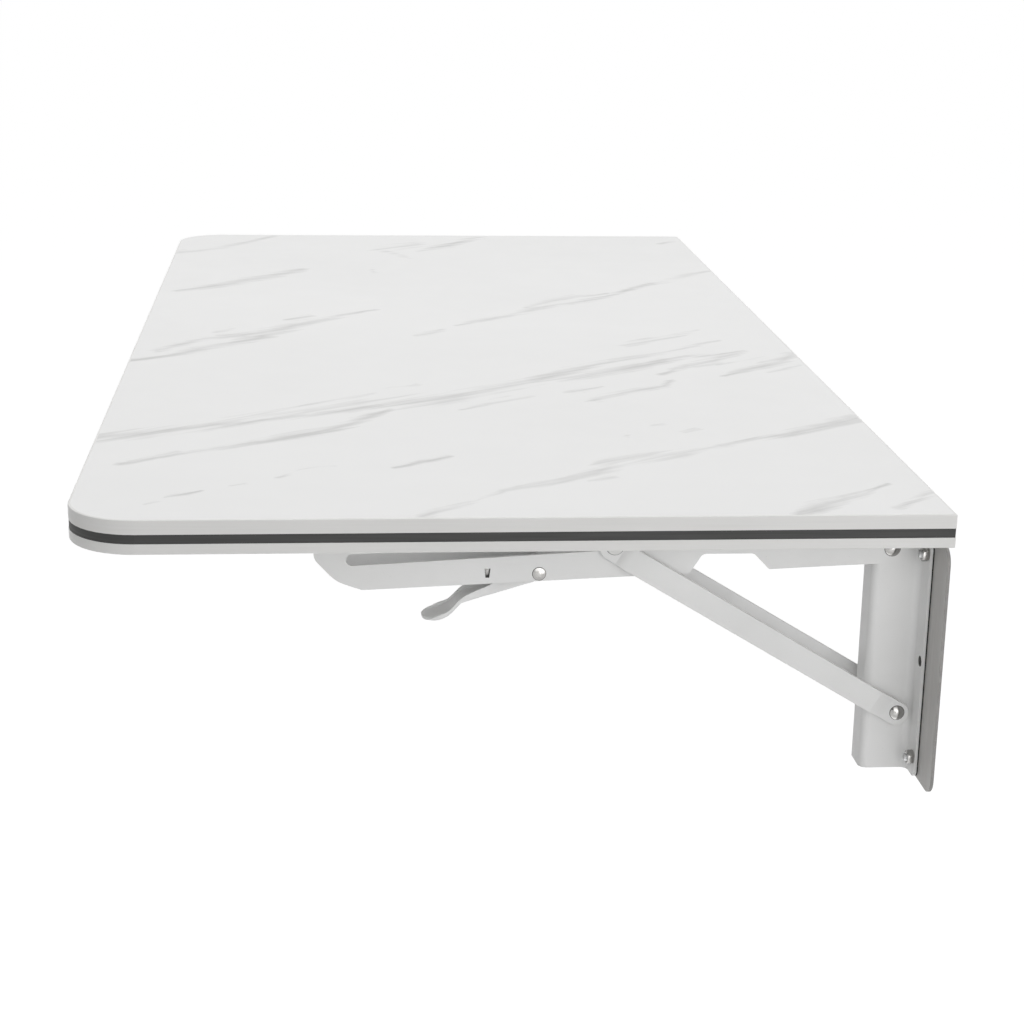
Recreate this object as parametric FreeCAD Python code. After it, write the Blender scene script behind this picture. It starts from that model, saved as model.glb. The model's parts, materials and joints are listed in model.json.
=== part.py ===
import FreeCAD, Part
import math
import os

# Wall mounted drop leaf table: a board on two folding brackets.
# Millimetres. X runs along the wall, Y into the wall, Z up. The origin lies in the wall plane,
# midway between the brackets and level with the free screw holes of their flanges.
# Most places are written as a distance out from the wall and a drop below the board's underside.

# Tabletop
top_length = 1000.0
top_depth = 500.0
top_thickness = 20.0
front_corner_radius = 40.0
rear_edge_gap = 1.0
marble_sheet = 1.0
backing_sheet = 0.8
edge_band = 1.5
upper_band_height = 8.4
stripe_height = 5.4
stripe_recess = 0.2
edge_round = 0.9
underside_height = 83.0

# Places of the pivots in one bracket
bracket_end_inset = 64.0
hinge_out = 23.0
hinge_drop = 15.5
foot_drop = 118.5
head_out = 188.8
head_drop = 11.6
slot_slope_degrees = 3.1
fold_degrees = 90.0
lever_pivot_beyond_head = 43.9
lever_pivot_drop = 29.2

# Wall plate, its studs and nuts
plate_width = 112.0
plate_above_bar = 4.5
plate_below_bar = 0.5
plate_thickness = 2.0
plate_corner_radius = 10.0
stud_diameter = 5.0
stud_beyond_nut = 1.6
stud_chamfer = 0.6
stud_hole_clearance = 0.2
upper_nut_inset = 7.4
lower_nut_inset = 12.0
nut_across_flats = 8.0
nut_height = 4.0
nut_chamfer = 0.7
nut_sides = 6
nut_brace_clearance = 0.3
wall_hole_diameter = 6.6

# Wall bar: hat section on two pads
pad_thickness = 0.8
bar_sheet = 1.6
bar_width = 24.0
bar_beyond_hinge = 10.5
bar_above_hinge = 7.0
bar_height = 148.0
bar_crown_radius = 5.0
bar_flange_radius = 4.5
flange_beyond_nut = 5.0
flange_corner_radius = 5.0

# Arm: channel under the board
arm_sheet = 2.0
arm_side_clearance = 0.3
arm_bend_radius = 3.0
arm_behind_hinge = 7.0
arm_below_hinge = 9.0
arm_tail_radius = 6.5
nose_wall_clearance = 0.3
nose_beyond_slot = 22.2
nose_heel_length = 27.9
nose_chin_length = 12.7
nose_chin_rise = 5.3
nose_face_height = 19.0
nose_face_radius = 8.0
nose_chin_radius = 22.0
nose_heel_radius = 4.0
notch_clearance = 1.0
notch_wallward = 20.0
notch_noseward = 10.3
notch_wallward_flare = 9.5
notch_noseward_flare = 7.6
notch_radius = 4.0
mouth_radius = 2.0
slot_clearance = 0.3
slot_spare = 11.0
slit_beyond_pivot = 30.3
slit_drop = 28.5
slit_height = 5.6
slit_top_width = 3.4
slit_foot_width = 2.2
screw_shares = (0.14, 0.36, 0.63, 0.93)
screw_head_diameter = 8.0
screw_head_height = 2.0
screw_shank_diameter = 4.0
screw_depth = 13.0
screw_tip = 4.0
screw_hole_clearance = 0.25
screw_crown_share = 0.62
screw_rim_share = 0.45

# Brace: two joggled bars
brace_sheet = 2.0
brace_depth = 14.6
brace_foot_sag = 0.6
brace_head_sag = 2.1
brace_end_radius = 6.4
brace_ear_radius = 8.4
brace_ear_reach = 8.6
brace_joggle = 2.4
brace_joggle_run = 9.0
brace_foot_flat = 7.5
brace_head_flat = 6.7
brace_shoulder_run = 3.56
brace_shoulder_share = 0.84
brace_crease_share = 0.11
brace_bend_radius = 5.0
brace_flange_clearance = 2.4

# Pins, rivets and bushes
running_clearance = 0.05
face_clearance = 0.2
hinge_pin_diameter = 6.0
hinge_head_diameter = 9.2
hinge_head_height = 2.2
foot_pin_diameter = 6.0
foot_head_diameter = 8.6
foot_head_height = 2.0
foot_spacer_diameter = 11.0
slide_pin_diameter = 6.4
head_rivet_diameter = 6.0
head_rivet_head_diameter = 10.4
head_rivet_head_height = 1.8
lever_pin_diameter = 4.4
lever_head_diameter = 7.6
lever_head_height = 1.0
lever_head_clearance = 0.3
lever_spacer_diameter = 8.0

# Release lever: channel with a hook at one end and a spoon at the other
lever_sheet = 1.8
lever_width = 14.0
lever_reach = 67.3
lever_fall = 30.4
hook_reach = 41.0
hook_length = 8.0
hook_depth = 4.4
hook_pin_clearance = 0.4
hook_valley = 3.6
lever_back_rise = 7.6
lever_belly_fall = 6.2
lever_corner_radius = 2.0
web_start_share = 0.10
wall_end_share = 0.675
wall_end_top_share = 0.56
wall_end_foot_share = 0.67
neck_end_share = 0.79
neck_end_fall_share = 0.95
spoon_width = 23.0
spoon_start_share = 0.765
neck_bend_radius = 5.0
spoon_tip_radius = 11.0
spoon_shoulder_radius = 4.5

# Lever spring: torsion coil with two legs
spring_wire = 0.9
spring_radius = 3.05
spring_turns = 2.5
spring_end_clearance = 0.35
spring_bend_radius = 1.3
spring_lever_leg = 24.0
spring_lever_leg_degrees = 3.0
spring_lever_hook = 5.0
spring_arm_leg_degrees = 2.2
spring_arm_hook = 2.4

# Working values
overrun = 10.0
tiny = 1e-6
full_turn_degrees = 360.0
points_per_quarter = 12

# Places that follow from the sizes above
bracket_offset = top_length / 2 - bracket_end_inset
flange_back_out = plate_thickness + pad_thickness
flange_face_out = flange_back_out + bar_sheet
brace_half_depth = brace_depth / 2
foot_out = flange_face_out + brace_flange_clearance + brace_half_depth
bar_half = bar_width / 2
bar_crown_out = hinge_out + bar_beyond_hinge
bar_top_drop = hinge_drop - bar_above_hinge
plate_top_drop = bar_top_drop - plate_above_bar
plate_height = bar_height + plate_above_bar + plate_below_bar
upper_nut_drop = bar_top_drop + upper_nut_inset
lower_nut_drop = bar_top_drop + bar_height - lower_nut_inset
arm_inner_half = bar_half + arm_side_clearance
arm_outer_half = arm_inner_half + arm_sheet
ear_inner_half = arm_outer_half + lever_head_height + lever_head_clearance
ear_outer_half = ear_inner_half + brace_sheet
brace_inner_half = ear_inner_half + brace_joggle
brace_outer_half = brace_inner_half + brace_sheet
nut_side = brace_outer_half + nut_brace_clearance + nut_across_flats / 2
flange_half = nut_side + flange_beyond_nut
lever_half = lever_width / 2
lever_pivot_out = head_out + lever_pivot_beyond_head
slot_radius = slide_pin_diameter / 2 + slot_clearance
slot_slope = math.radians(slot_slope_degrees)
brace_length = math.hypot(head_out - foot_out, foot_drop - head_drop)
brace_rise = math.atan2(foot_drop - head_drop, head_out - foot_out)
stowed_foot_out = hinge_out + foot_drop - hinge_drop
stowed_foot_drop = hinge_drop + hinge_out - foot_out
core_bottom = underside_height + backing_sheet
top_height = underside_height + top_thickness

Vector = FreeCAD.Vector
ALONG_WALL = Vector(1, 0, 0)
INTO_ROOM = Vector(0, -1, 0)
UPWARD = Vector(0, 0, 1)


def slide_travel():
    """Way of the slide pin along its slot when the board is folded down."""
    wallward = head_out - stowed_foot_out
    downward = head_drop - stowed_foot_drop
    along = wallward * math.cos(slot_slope) + downward * math.sin(slot_slope)
    square = wallward ** 2 + downward ** 2 - brace_length ** 2
    return math.sqrt(along ** 2 - square) - along


def brace_turn():
    """Angle in radians that the brace turns when the board is folded down."""
    travel = slide_travel()
    pin_out = head_out + travel * math.cos(slot_slope)
    pin_drop = head_drop + travel * math.sin(slot_slope)
    lean = math.atan2(pin_drop - stowed_foot_drop, pin_out - stowed_foot_out)
    return math.radians(fold_degrees) + brace_rise + lean


slot_length = slide_travel() + slot_spare
slot_end_out = head_out + slot_length * math.cos(slot_slope)
nose_out = slot_end_out + nose_beyond_slot
nose_drop = hinge_drop + hinge_out - nose_wall_clearance
nose_heel_out = nose_out - nose_heel_length
arm_tail_out = hinge_out - arm_behind_hinge
tail_drop = hinge_drop + arm_below_hinge


def place(out, drop, along=0):
    """Point at a distance out from the wall, a drop below the underside and a place along the wall."""
    return Vector(along, -out, underside_height - drop)


def rounded_wire(corners):
    """Closed wire through (point, radius) corners, with tangent arcs where the radius isn't zero."""
    count = len(corners)
    bends = []
    for index, (point, radius) in enumerate(corners):
        before = (corners[index - 1][0] - point).normalize()
        after = (corners[(index + 1) % count][0] - point).normalize()
        half_angle = before.getAngle(after) / 2
        inward = (before + after).normalize() if radius else Vector()
        run = radius / math.tan(half_angle) if radius else 0
        summit = point + inward * (radius / math.sin(half_angle) - radius)
        bends.append((point + before * run, summit, point + after * run))
    edges = []
    for index, (start, summit, end) in enumerate(bends):
        if (end - start).Length > tiny:
            edges.append(Part.Arc(start, summit, end).toShape())
        following = bends[(index + 1) % count][0]
        if (following - end).Length > tiny:
            edges.append(Part.makeLine(end, following))
    return Part.Wire(edges)


def prism(corners, sweep):
    """Solid swept from a closed outline of (point, radius) corners."""
    return Part.Face(rounded_wire(corners)).extrude(sweep)


def side_prism(outline, start, end):
    """Solid from a side outline of (out, drop, radius) corners, between two places along the wall."""
    corners = [(place(out, drop, start), radius) for out, drop, radius in outline]
    return prism(corners, ALONG_WALL * (end - start))


def rod(radius, out, drop, start, end):
    """Round bar along the wall."""
    return Part.makeCylinder(radius, end - start, place(out, drop, start), ALONG_WALL)


def turned(profile, base, axis):
    """Solid of revolution from a closed (radius, height) polygon, standing at base along axis."""
    points = [Vector(radius, 0, height) for radius, height in profile]
    face = Part.Face(Part.makePolygon(points + points[:1]))
    solid = face.revolve(Vector(), UPWARD, full_turn_degrees)
    solid.Placement = FreeCAD.Placement(base, FreeCAD.Rotation(UPWARD, axis))
    return solid


def dome(radius, height, base, axis):
    """Rivet head: a cap of a ball on a flat base."""
    ball = (radius ** 2 + height ** 2) / (2 * height)
    lean = math.asin(radius / ball) / 2
    rim = Vector(radius, 0, 0)
    flank = Vector(ball * math.sin(lean), 0, height - ball + ball * math.cos(lean))
    crown = Vector(0, 0, height)
    arc = Part.Arc(rim, flank, crown).toShape()
    outline = Part.Wire([Part.makeLine(Vector(), rim), arc, Part.makeLine(crown, Vector())])
    solid = Part.Face(outline).revolve(Vector(), UPWARD, full_turn_degrees)
    solid.Placement = FreeCAD.Placement(base, FreeCAD.Rotation(UPWARD, axis))
    return solid


def rivet(shank_diameter, head_diameter, head_height, out, drop, half_length):
    """Pin along the wall with a domed head at each end."""
    shank = rod(shank_diameter / 2, out, drop, -half_length, half_length)
    heads = [
        dome(head_diameter / 2, head_height, place(out, drop, side * half_length), ALONG_WALL * side)
        for side in (-1, 1)
    ]
    return shank.multiFuse(heads).removeSplitter()


def strip_outline(points, thickness, *bends):
    """Corners (first, second, radius) of a strip on the left of a line, with one radius or one for each bend."""
    count = len(points)
    normals = []
    for (first, second), (next_first, next_second) in zip(points, points[1:]):
        run = math.hypot(next_first - first, next_second - second)
        normals.append(((second - next_second) / run, (next_first - first) / run))
    shifted = []
    for index, (first, second) in enumerate(points):
        before = normals[max(index - 1, 0)]
        after = normals[min(index, count - 2)]
        spread = 1 + before[0] * after[0] + before[1] * after[1]
        step = thickness / spread
        shifted.append((first + step * (before[0] + after[0]), second + step * (before[1] + after[1])))
    radii = [0] + [bends[min(index, len(bends) - 1)] for index in range(count - 2)] + [0]
    outline = [(*point, bend) for point, bend in zip(points, radii)]
    return outline + [(*point, bend) for point, bend in zip(reversed(shifted), reversed(radii))]


def panel_block(inset, bottom, top):
    """Board outline, drawn in by an inset, between two heights."""
    half = top_length / 2 - inset
    rear = -rear_edge_gap - inset
    front = -rear_edge_gap - top_depth + inset
    radius = front_corner_radius - inset
    corners = [
        (Vector(half, rear, bottom), 0),
        (Vector(-half, rear, bottom), 0),
        (Vector(-half, front, bottom), radius),
        (Vector(half, front, bottom), radius),
    ]
    return prism(corners, UPWARD * (top - bottom))


def edge_ring(inset, bottom, top, rounded_height):
    """Band round the board's edge, with the outer edge at one height rounded."""
    block = panel_block(inset, bottom, top)
    if rounded_height is not None:
        rim = []
        for edge in block.Edges:
            bounds = edge.BoundBox
            if max(abs(bounds.ZMin - rounded_height), abs(bounds.ZMax - rounded_height)) < tiny:
                rim.append(edge)
        block = block.makeFillet(min(edge_round, edge_band / 2), rim)
    return block.cut(panel_block(edge_band, bottom - overrun, top + overrun))


def arm_lower_drop(out):
    """Drop of the arm's straight lower edge at a distance out from the wall."""
    slope = (nose_drop - tail_drop) / (nose_heel_out - hinge_out)
    return tail_drop + slope * (out - hinge_out)


def arm_outline():
    """Side outline of the arm: tail at the hinge, notch over the brace foot, rounded nose."""
    notch_top = stowed_foot_drop - foot_spacer_diameter / 2 - notch_clearance
    notch_start = stowed_foot_out - notch_wallward
    notch_end = stowed_foot_out + notch_noseward
    mouth_start = notch_start - notch_wallward_flare
    mouth_end = notch_end + notch_noseward_flare
    return [
        (arm_tail_out, 0, 0),
        (arm_tail_out, arm_lower_drop(arm_tail_out), arm_tail_radius),
        (mouth_start, arm_lower_drop(mouth_start), mouth_radius),
        (notch_start, notch_top, notch_radius),
        (notch_end, notch_top, notch_radius),
        (mouth_end, arm_lower_drop(mouth_end), mouth_radius),
        (nose_heel_out, nose_drop, nose_heel_radius),
        (nose_out - nose_chin_length, nose_drop - nose_chin_rise, nose_chin_radius),
        (nose_out, nose_face_height, nose_face_radius),
        (nose_out, 0, 0),
    ]


def channel_blank():
    """Bent channel, open downwards, as long as the arm and deeper than its side outline."""
    depth = nose_drop + overrun
    bend_inside = max(arm_bend_radius - arm_sheet, arm_sheet / 2)
    section = [
        (-arm_outer_half, depth, 0),
        (-arm_outer_half, 0, arm_bend_radius),
        (arm_outer_half, 0, arm_bend_radius),
        (arm_outer_half, depth, 0),
        (arm_inner_half, depth, 0),
        (arm_inner_half, arm_sheet, bend_inside),
        (-arm_inner_half, arm_sheet, bend_inside),
        (-arm_inner_half, depth, 0),
    ]
    corners = [(place(arm_tail_out, drop, along), radius) for along, drop, radius in section]
    return prism(corners, INTO_ROOM * (nose_out - arm_tail_out))


def slot_cutter():
    """Long slot for the slide pin, through both side walls."""
    side_out = slot_radius * math.sin(slot_slope)
    side_drop = slot_radius * math.cos(slot_slope)
    cap_out = slot_radius * math.cos(slot_slope)
    cap_drop = slot_radius * math.sin(slot_slope)
    end_out = slot_end_out
    end_drop = head_drop + slot_length * math.sin(slot_slope)
    start = -arm_outer_half - overrun
    upper_head = place(head_out + side_out, head_drop - side_drop, start)
    lower_head = place(head_out - side_out, head_drop + side_drop, start)
    upper_end = place(end_out + side_out, end_drop - side_drop, start)
    lower_end = place(end_out - side_out, end_drop + side_drop, start)
    head_cap = Part.Arc(lower_head, place(head_out - cap_out, head_drop - cap_drop, start), upper_head)
    end_cap = Part.Arc(upper_end, place(end_out + cap_out, end_drop + cap_drop, start), lower_end)
    outline = Part.Wire([
        head_cap.toShape(),
        Part.makeLine(upper_head, upper_end),
        end_cap.toShape(),
        Part.makeLine(lower_end, lower_head),
    ])
    return Part.Face(outline).extrude(ALONG_WALL * (-2 * start))


def slit_cutter():
    """Tapered slit in the outer side wall, which the spring's leg hooks into."""
    middle = lever_pivot_out + slit_beyond_pivot
    upper = slit_drop - slit_height / 2
    lower = slit_drop + slit_height / 2
    outline = [
        (middle - slit_top_width / 2, upper, 0),
        (middle + slit_top_width / 2, upper, 0),
        (middle + slit_foot_width / 2, lower, 0),
        (middle - slit_foot_width / 2, lower, 0),
    ]
    return side_prism(outline, lever_half, arm_outer_half + overrun)


def screw_places():
    """Distances out from the wall of the screws that hold the arm to the board."""
    return [arm_tail_out + share * (nose_out - arm_tail_out) for share in screw_shares]


def arm():
    """Folded sheet arm with its slot, pivot holes, slit and screw holes."""
    depth_start = -arm_outer_half - overrun
    solid = channel_blank().common(side_prism(arm_outline(), depth_start, -depth_start))
    cutters = [
        slot_cutter(),
        slit_cutter(),
        rod(hinge_pin_diameter / 2, hinge_out, hinge_drop, depth_start, -depth_start),
        rod(lever_pin_diameter / 2, lever_pivot_out, lever_pivot_drop, depth_start, -depth_start),
    ]
    hole_radius = screw_shank_diameter / 2 + screw_hole_clearance
    for out in screw_places():
        cutters.append(Part.makeCylinder(hole_radius, arm_sheet + overrun, place(out, arm_sheet), UPWARD))
    return solid.cut(Part.Compound(cutters))


def arm_screws():
    """Flat-domed wood screws, from inside the arm up into the board."""
    head_radius = screw_head_diameter / 2
    shank_radius = screw_shank_diameter / 2
    length = screw_head_height + arm_sheet + screw_depth
    profile = [
        (0, 0),
        (head_radius * screw_crown_share, 0),
        (head_radius, screw_head_height * screw_rim_share),
        (head_radius, screw_head_height),
        (shank_radius, screw_head_height),
        (shank_radius, length - screw_tip),
        (0, length),
    ]
    bottom = arm_sheet + screw_head_height
    return Part.Compound([turned(profile, place(out, bottom), UPWARD) for out in screw_places()])


def wall_plate():
    """Flat plate against the wall, with pressed stud holes and two screw holes."""
    half = plate_width / 2
    corners = [
        (place(0, plate_top_drop, -half), plate_corner_radius),
        (place(0, plate_top_drop, half), plate_corner_radius),
        (place(0, plate_top_drop + plate_height, half), plate_corner_radius),
        (place(0, plate_top_drop + plate_height, -half), plate_corner_radius),
    ]
    solid = prism(corners, INTO_ROOM * plate_thickness)
    return solid.cut(Part.Compound(flange_holes(stud_diameter / 2)))


def stud_places():
    """Places along the wall and drops of the four studs."""
    return [(side * nut_side, drop) for side in (-1, 1) for drop in (upper_nut_drop, lower_nut_drop)]


def flange_holes(stud_hole_radius):
    """Cutters for the four stud holes and the two free screw holes."""
    length = flange_face_out + 2 * overrun
    cutters = []
    for along, drop in stud_places():
        cutters.append(Part.makeCylinder(stud_hole_radius, length, place(-overrun, drop, along), INTO_ROOM))
    for side in (-1, 1):
        base = place(-overrun, underside_height, side * nut_side)
        cutters.append(Part.makeCylinder(wall_hole_diameter / 2, length, base, INTO_ROOM))
    return cutters


def wall_studs():
    """Threaded studs pressed into the plate, flush with its back."""
    radius = stud_diameter / 2
    length = flange_face_out + nut_height + stud_beyond_nut
    profile = [
        (0, 0),
        (radius, 0),
        (radius, length - stud_chamfer),
        (radius - stud_chamfer, length),
        (0, length),
    ]
    studs = [turned(profile, place(0, drop, along), INTO_ROOM) for along, drop in stud_places()]
    return Part.Compound(studs)


def hex_nut(along, drop):
    """Hexagon nut with a chamfered outer face, one corner up."""
    corner_radius = nut_across_flats / math.sqrt(3)
    corners = []
    for index in range(nut_sides):
        angle = math.radians(index * full_turn_degrees / nut_sides)
        corner_along = along + corner_radius * math.sin(angle)
        corners.append((place(flange_face_out, drop - corner_radius * math.cos(angle), corner_along), 0))
    hexagon = prism(corners, INTO_ROOM * nut_height)
    profile = [
        (0, 0),
        (corner_radius, 0),
        (corner_radius, nut_height - nut_chamfer / 2),
        (corner_radius - nut_chamfer, nut_height),
        (0, nut_height),
    ]
    seat = place(flange_face_out, drop, along)
    bore = Part.makeCylinder(stud_diameter / 2, nut_height, seat, INTO_ROOM)
    return hexagon.common(turned(profile, seat, INTO_ROOM)).cut(bore)


def wall_nuts():
    """Four nuts that clamp the wall bar's flanges to the plate."""
    return Part.Compound([hex_nut(along, drop) for along, drop in stud_places()])


def flange_block(back, front):
    """Outline of the wall bar's flanges, between two distances out from the wall."""
    top = bar_top_drop
    bottom = bar_top_drop + bar_height
    corners = [
        (place(back, top, -flange_half), flange_corner_radius),
        (place(back, top, flange_half), flange_corner_radius),
        (place(back, bottom, flange_half), flange_corner_radius),
        (place(back, bottom, -flange_half), flange_corner_radius),
    ]
    return prism(corners, INTO_ROOM * (front - back))


def wall_pads():
    """Two strips of dark pad between the plate and the wall bar's flanges."""
    inner_half = bar_half - bar_sheet
    gap = Part.makeBox(
        2 * inner_half, pad_thickness + 2 * overrun, bar_height + 2 * overrun,
        place(flange_back_out + overrun, bar_top_drop + bar_height + overrun, -inner_half)
    )
    cutters = flange_holes(stud_diameter / 2 + stud_hole_clearance)
    return flange_block(plate_thickness, flange_back_out).cut(Part.Compound(cutters + [gap]))


def wall_bar():
    """Hat-section bar: two flanges on their pads, two sides and a crown."""
    inner_half = bar_half - bar_sheet
    crown_inside = bar_crown_out - bar_sheet
    crown_inner_radius = max(bar_crown_radius - bar_sheet, bar_sheet / 2)
    outer_flange_radius = bar_flange_radius + bar_sheet
    right_side = [
        (flange_half, flange_back_out, 0),
        (flange_half, flange_face_out, 0),
        (bar_half, flange_face_out, bar_flange_radius),
        (bar_half, bar_crown_out, bar_crown_radius),
    ]
    left_side = [(-along, out, radius) for along, out, radius in reversed(right_side)]
    hollow = [
        (-inner_half, flange_back_out, outer_flange_radius),
        (-inner_half, crown_inside, crown_inner_radius),
        (inner_half, crown_inside, crown_inner_radius),
        (inner_half, flange_back_out, outer_flange_radius),
    ]
    bottom_drop = bar_top_drop + bar_height
    section = right_side + left_side + hollow
    corners = [(place(out, bottom_drop, along), radius) for along, out, radius in section]
    solid = prism(corners, UPWARD * bar_height).common(flange_block(0, bar_crown_out + overrun))
    cutters = flange_holes(stud_diameter / 2 + stud_hole_clearance)
    hinge_radius = hinge_pin_diameter / 2 + running_clearance
    foot_radius = foot_pin_diameter / 2 + running_clearance
    cutters.append(rod(hinge_radius, hinge_out, hinge_drop, -bar_width, bar_width))
    cutters.append(rod(foot_radius, foot_out, foot_drop, -bar_width, bar_width))
    return solid.cut(Part.Compound(cutters))


def brace_bar(side):
    """Pressed bar from the foot pivot to the arm, a little below both pins, shouldered out between its ears."""
    first_bend = brace_foot_flat
    last_bend = brace_length - brace_head_flat
    line = [
        (ear_inner_half, -brace_half_depth),
        (ear_inner_half, first_bend),
        (brace_inner_half, first_bend + brace_joggle_run),
        (brace_inner_half, last_bend - brace_shoulder_run),
        (ear_inner_half, last_bend),
        (ear_inner_half, brace_length + brace_ear_reach),
    ]
    slant = math.hypot(brace_joggle, brace_shoulder_run)
    widest = slant / math.tan(math.atan2(brace_joggle, brace_shoulder_run) / 2)
    bends = (brace_bend_radius, brace_bend_radius, brace_shoulder_share * widest, brace_crease_share * widest)
    plan = strip_outline(line, -brace_sheet, *bends)
    bottom = -brace_half_depth - brace_head_sag
    corners = [(Vector(side * along, -reach, bottom), radius) for along, reach, radius in plan]
    solid = prism(corners, UPWARD * (brace_half_depth - bottom))
    end_radius = min(brace_end_radius, brace_half_depth - brace_sheet / 4)
    ear_top_radius = min(end_radius, brace_depth - brace_ear_radius - brace_sheet / 4)
    tip = brace_length + brace_ear_reach
    start = -brace_outer_half - overrun
    outline = [
        (Vector(start, -reach, height), radius)
        for reach, height, radius in (
            (-brace_half_depth, -brace_half_depth - brace_foot_sag, end_radius),
            (-brace_half_depth, brace_half_depth - brace_foot_sag, end_radius),
            (tip, brace_half_depth - brace_head_sag, ear_top_radius),
            (tip, -brace_half_depth - brace_head_sag, brace_ear_radius),
        )
    ]
    solid = solid.common(prism(outline, ALONG_WALL * (-2 * start)))
    pin_holes = [
        Part.makeCylinder(foot_pin_diameter / 2, -2 * start, Vector(start, 0, 0), ALONG_WALL),
        Part.makeCylinder(head_rivet_diameter / 2, -2 * start, Vector(start, -brace_length, 0), ALONG_WALL),
    ]
    solid = solid.cut(Part.Compound(pin_holes))
    solid.rotate(Vector(), ALONG_WALL, -math.degrees(brace_rise))
    solid.translate(place(foot_out, foot_drop))
    return solid


def foot_spacers():
    """Bushes that hold the brace ears off the wall bar."""
    rings = []
    for side in (-1, 1):
        near, far = sorted((side * (bar_half + face_clearance), side * ear_inner_half))
        ring = rod(foot_spacer_diameter / 2, foot_out, foot_drop, near, far)
        rings.append(ring.cut(rod(foot_pin_diameter / 2, foot_out, foot_drop, near, far)))
    return Part.Compound(rings)


def head_rivets():
    """Domed rivets in the brace's upper ears, in line with the slide pin."""
    rivets = []
    for side in (-1, 1):
        near, far = sorted((side * ear_inner_half, side * ear_outer_half))
        shank = rod(head_rivet_diameter / 2, head_out, head_drop, near, far)
        seat = place(head_out, head_drop, side * ear_outer_half)
        head = dome(head_rivet_head_diameter / 2, head_rivet_head_height, seat, ALONG_WALL * side)
        rivets.append(shank.fuse(head).removeSplitter())
    return Part.Compound(rivets)


def slide_pin():
    """Pin that runs in the arm's slots, between the brace ears."""
    half = ear_inner_half - face_clearance
    return rod(slide_pin_diameter / 2, head_out, head_drop, -half, half)


def lever_wall_outline():
    """Side wall of the lever: hook under the slide pin, back over the pivot, flank down to the neck."""
    pivot_out = lever_pivot_out
    pivot_drop = lever_pivot_drop
    hook_out = pivot_out - hook_reach
    hook_inner_out = hook_out + hook_length
    path_drop = head_drop + (hook_inner_out - head_out) * math.tan(slot_slope)
    hook_top = path_drop + slide_pin_diameter / 2 + hook_pin_clearance
    flank_out = pivot_out + lever_reach * wall_end_share
    return [
        (hook_out, hook_top, lever_corner_radius / 2),
        (hook_inner_out, hook_top, lever_corner_radius),
        (hook_inner_out + hook_valley, hook_top + hook_valley, lever_corner_radius),
        (pivot_out, pivot_drop - lever_back_rise, lever_corner_radius),
        (flank_out, pivot_drop + lever_fall * wall_end_top_share, lever_corner_radius),
        (flank_out, pivot_drop + lever_fall * wall_end_foot_share, 0),
        (pivot_out, pivot_drop + lever_belly_fall, lever_corner_radius),
        (hook_out, hook_top + hook_depth, lever_corner_radius / 2),
    ]


def lever_floor():
    """Strip that joins the lever's walls, bends down at the neck and ends in the spoon."""
    pivot_out = lever_pivot_out
    pivot_drop = lever_pivot_drop
    foot_slope = (lever_fall * wall_end_foot_share - lever_belly_fall) / (lever_reach * wall_end_share)
    start_reach = lever_reach * web_start_share
    line = [
        (pivot_out + start_reach, pivot_drop + lever_belly_fall + foot_slope * start_reach),
        (pivot_out + lever_reach * wall_end_share, pivot_drop + lever_fall * wall_end_foot_share),
        (pivot_out + lever_reach * neck_end_share, pivot_drop + lever_fall * neck_end_fall_share),
        (pivot_out + lever_reach, pivot_drop + lever_fall),
    ]
    half = spoon_width / 2
    profile = strip_outline(line, -lever_sheet, neck_bend_radius)
    solid = side_prism(profile, -half, half)
    neck_out = pivot_out + lever_reach * wall_end_share
    shoulder_out = pivot_out + lever_reach * spoon_start_share
    right_side = [
        (pivot_out, lever_half, 0),
        (neck_out, lever_half, spoon_shoulder_radius),
        (shoulder_out, half, spoon_shoulder_radius),
        (pivot_out + lever_reach, half, min(spoon_tip_radius, half - lever_sheet / 4)),
    ]
    left_side = [(out, -along, radius) for out, along, radius in reversed(right_side)]
    depth = lever_fall + overrun
    outline = right_side + left_side
    plan = [(place(out, pivot_drop + depth, along), radius) for out, along, radius in outline]
    return solid.common(prism(plan, UPWARD * (depth + pivot_drop)))


def release_lever():
    """Stamped lever: two walls on the pivot pin, a floor between them and the spoon."""
    walls = [
        side_prism(lever_wall_outline(), *sorted((side * lever_half, side * (lever_half - lever_sheet))))
        for side in (-1, 1)
    ]
    solid = lever_floor().multiFuse(walls).removeSplitter()
    bore = lever_pin_diameter / 2 + running_clearance
    return solid.cut(rod(bore, lever_pivot_out, lever_pivot_drop, -lever_width, lever_width))


def lever_spacer():
    """Bush on the lever pin, on the side away from the spring."""
    start = -arm_inner_half
    end = -lever_half - face_clearance
    ring = rod(lever_spacer_diameter / 2, lever_pivot_out, lever_pivot_drop, start, end)
    return ring.cut(rod(lever_pin_diameter / 2, lever_pivot_out, lever_pivot_drop, start, end))


def tangent_arc(start, knee, end):
    """Arc from start to end whose end tangents meet at the knee, which is as far from both."""
    chord_middle = (start + end) * 0.5
    half_turn = (knee - start).getAngle(end - start)
    rise = math.tan(half_turn / 2) / math.tan(half_turn)
    return Part.Arc(start, chord_middle + (knee - chord_middle) * rise, end).toShape()


def biarc(start, start_way, end, end_way):
    """Two arcs that leave start along one unit direction and reach end along another."""
    across = end - start
    both = start_way + end_way
    spread = 2 * (1 - start_way.dot(end_way))
    lean = across.dot(both)
    reach = (math.sqrt(lean ** 2 + spread * across.dot(across)) - lean) / spread
    first_knee = start + start_way * reach
    second_knee = end - end_way * reach
    joint = (first_knee + second_knee) * 0.5
    return [tangent_arc(start, first_knee, joint), tangent_arc(joint, second_knee, end)]


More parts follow.
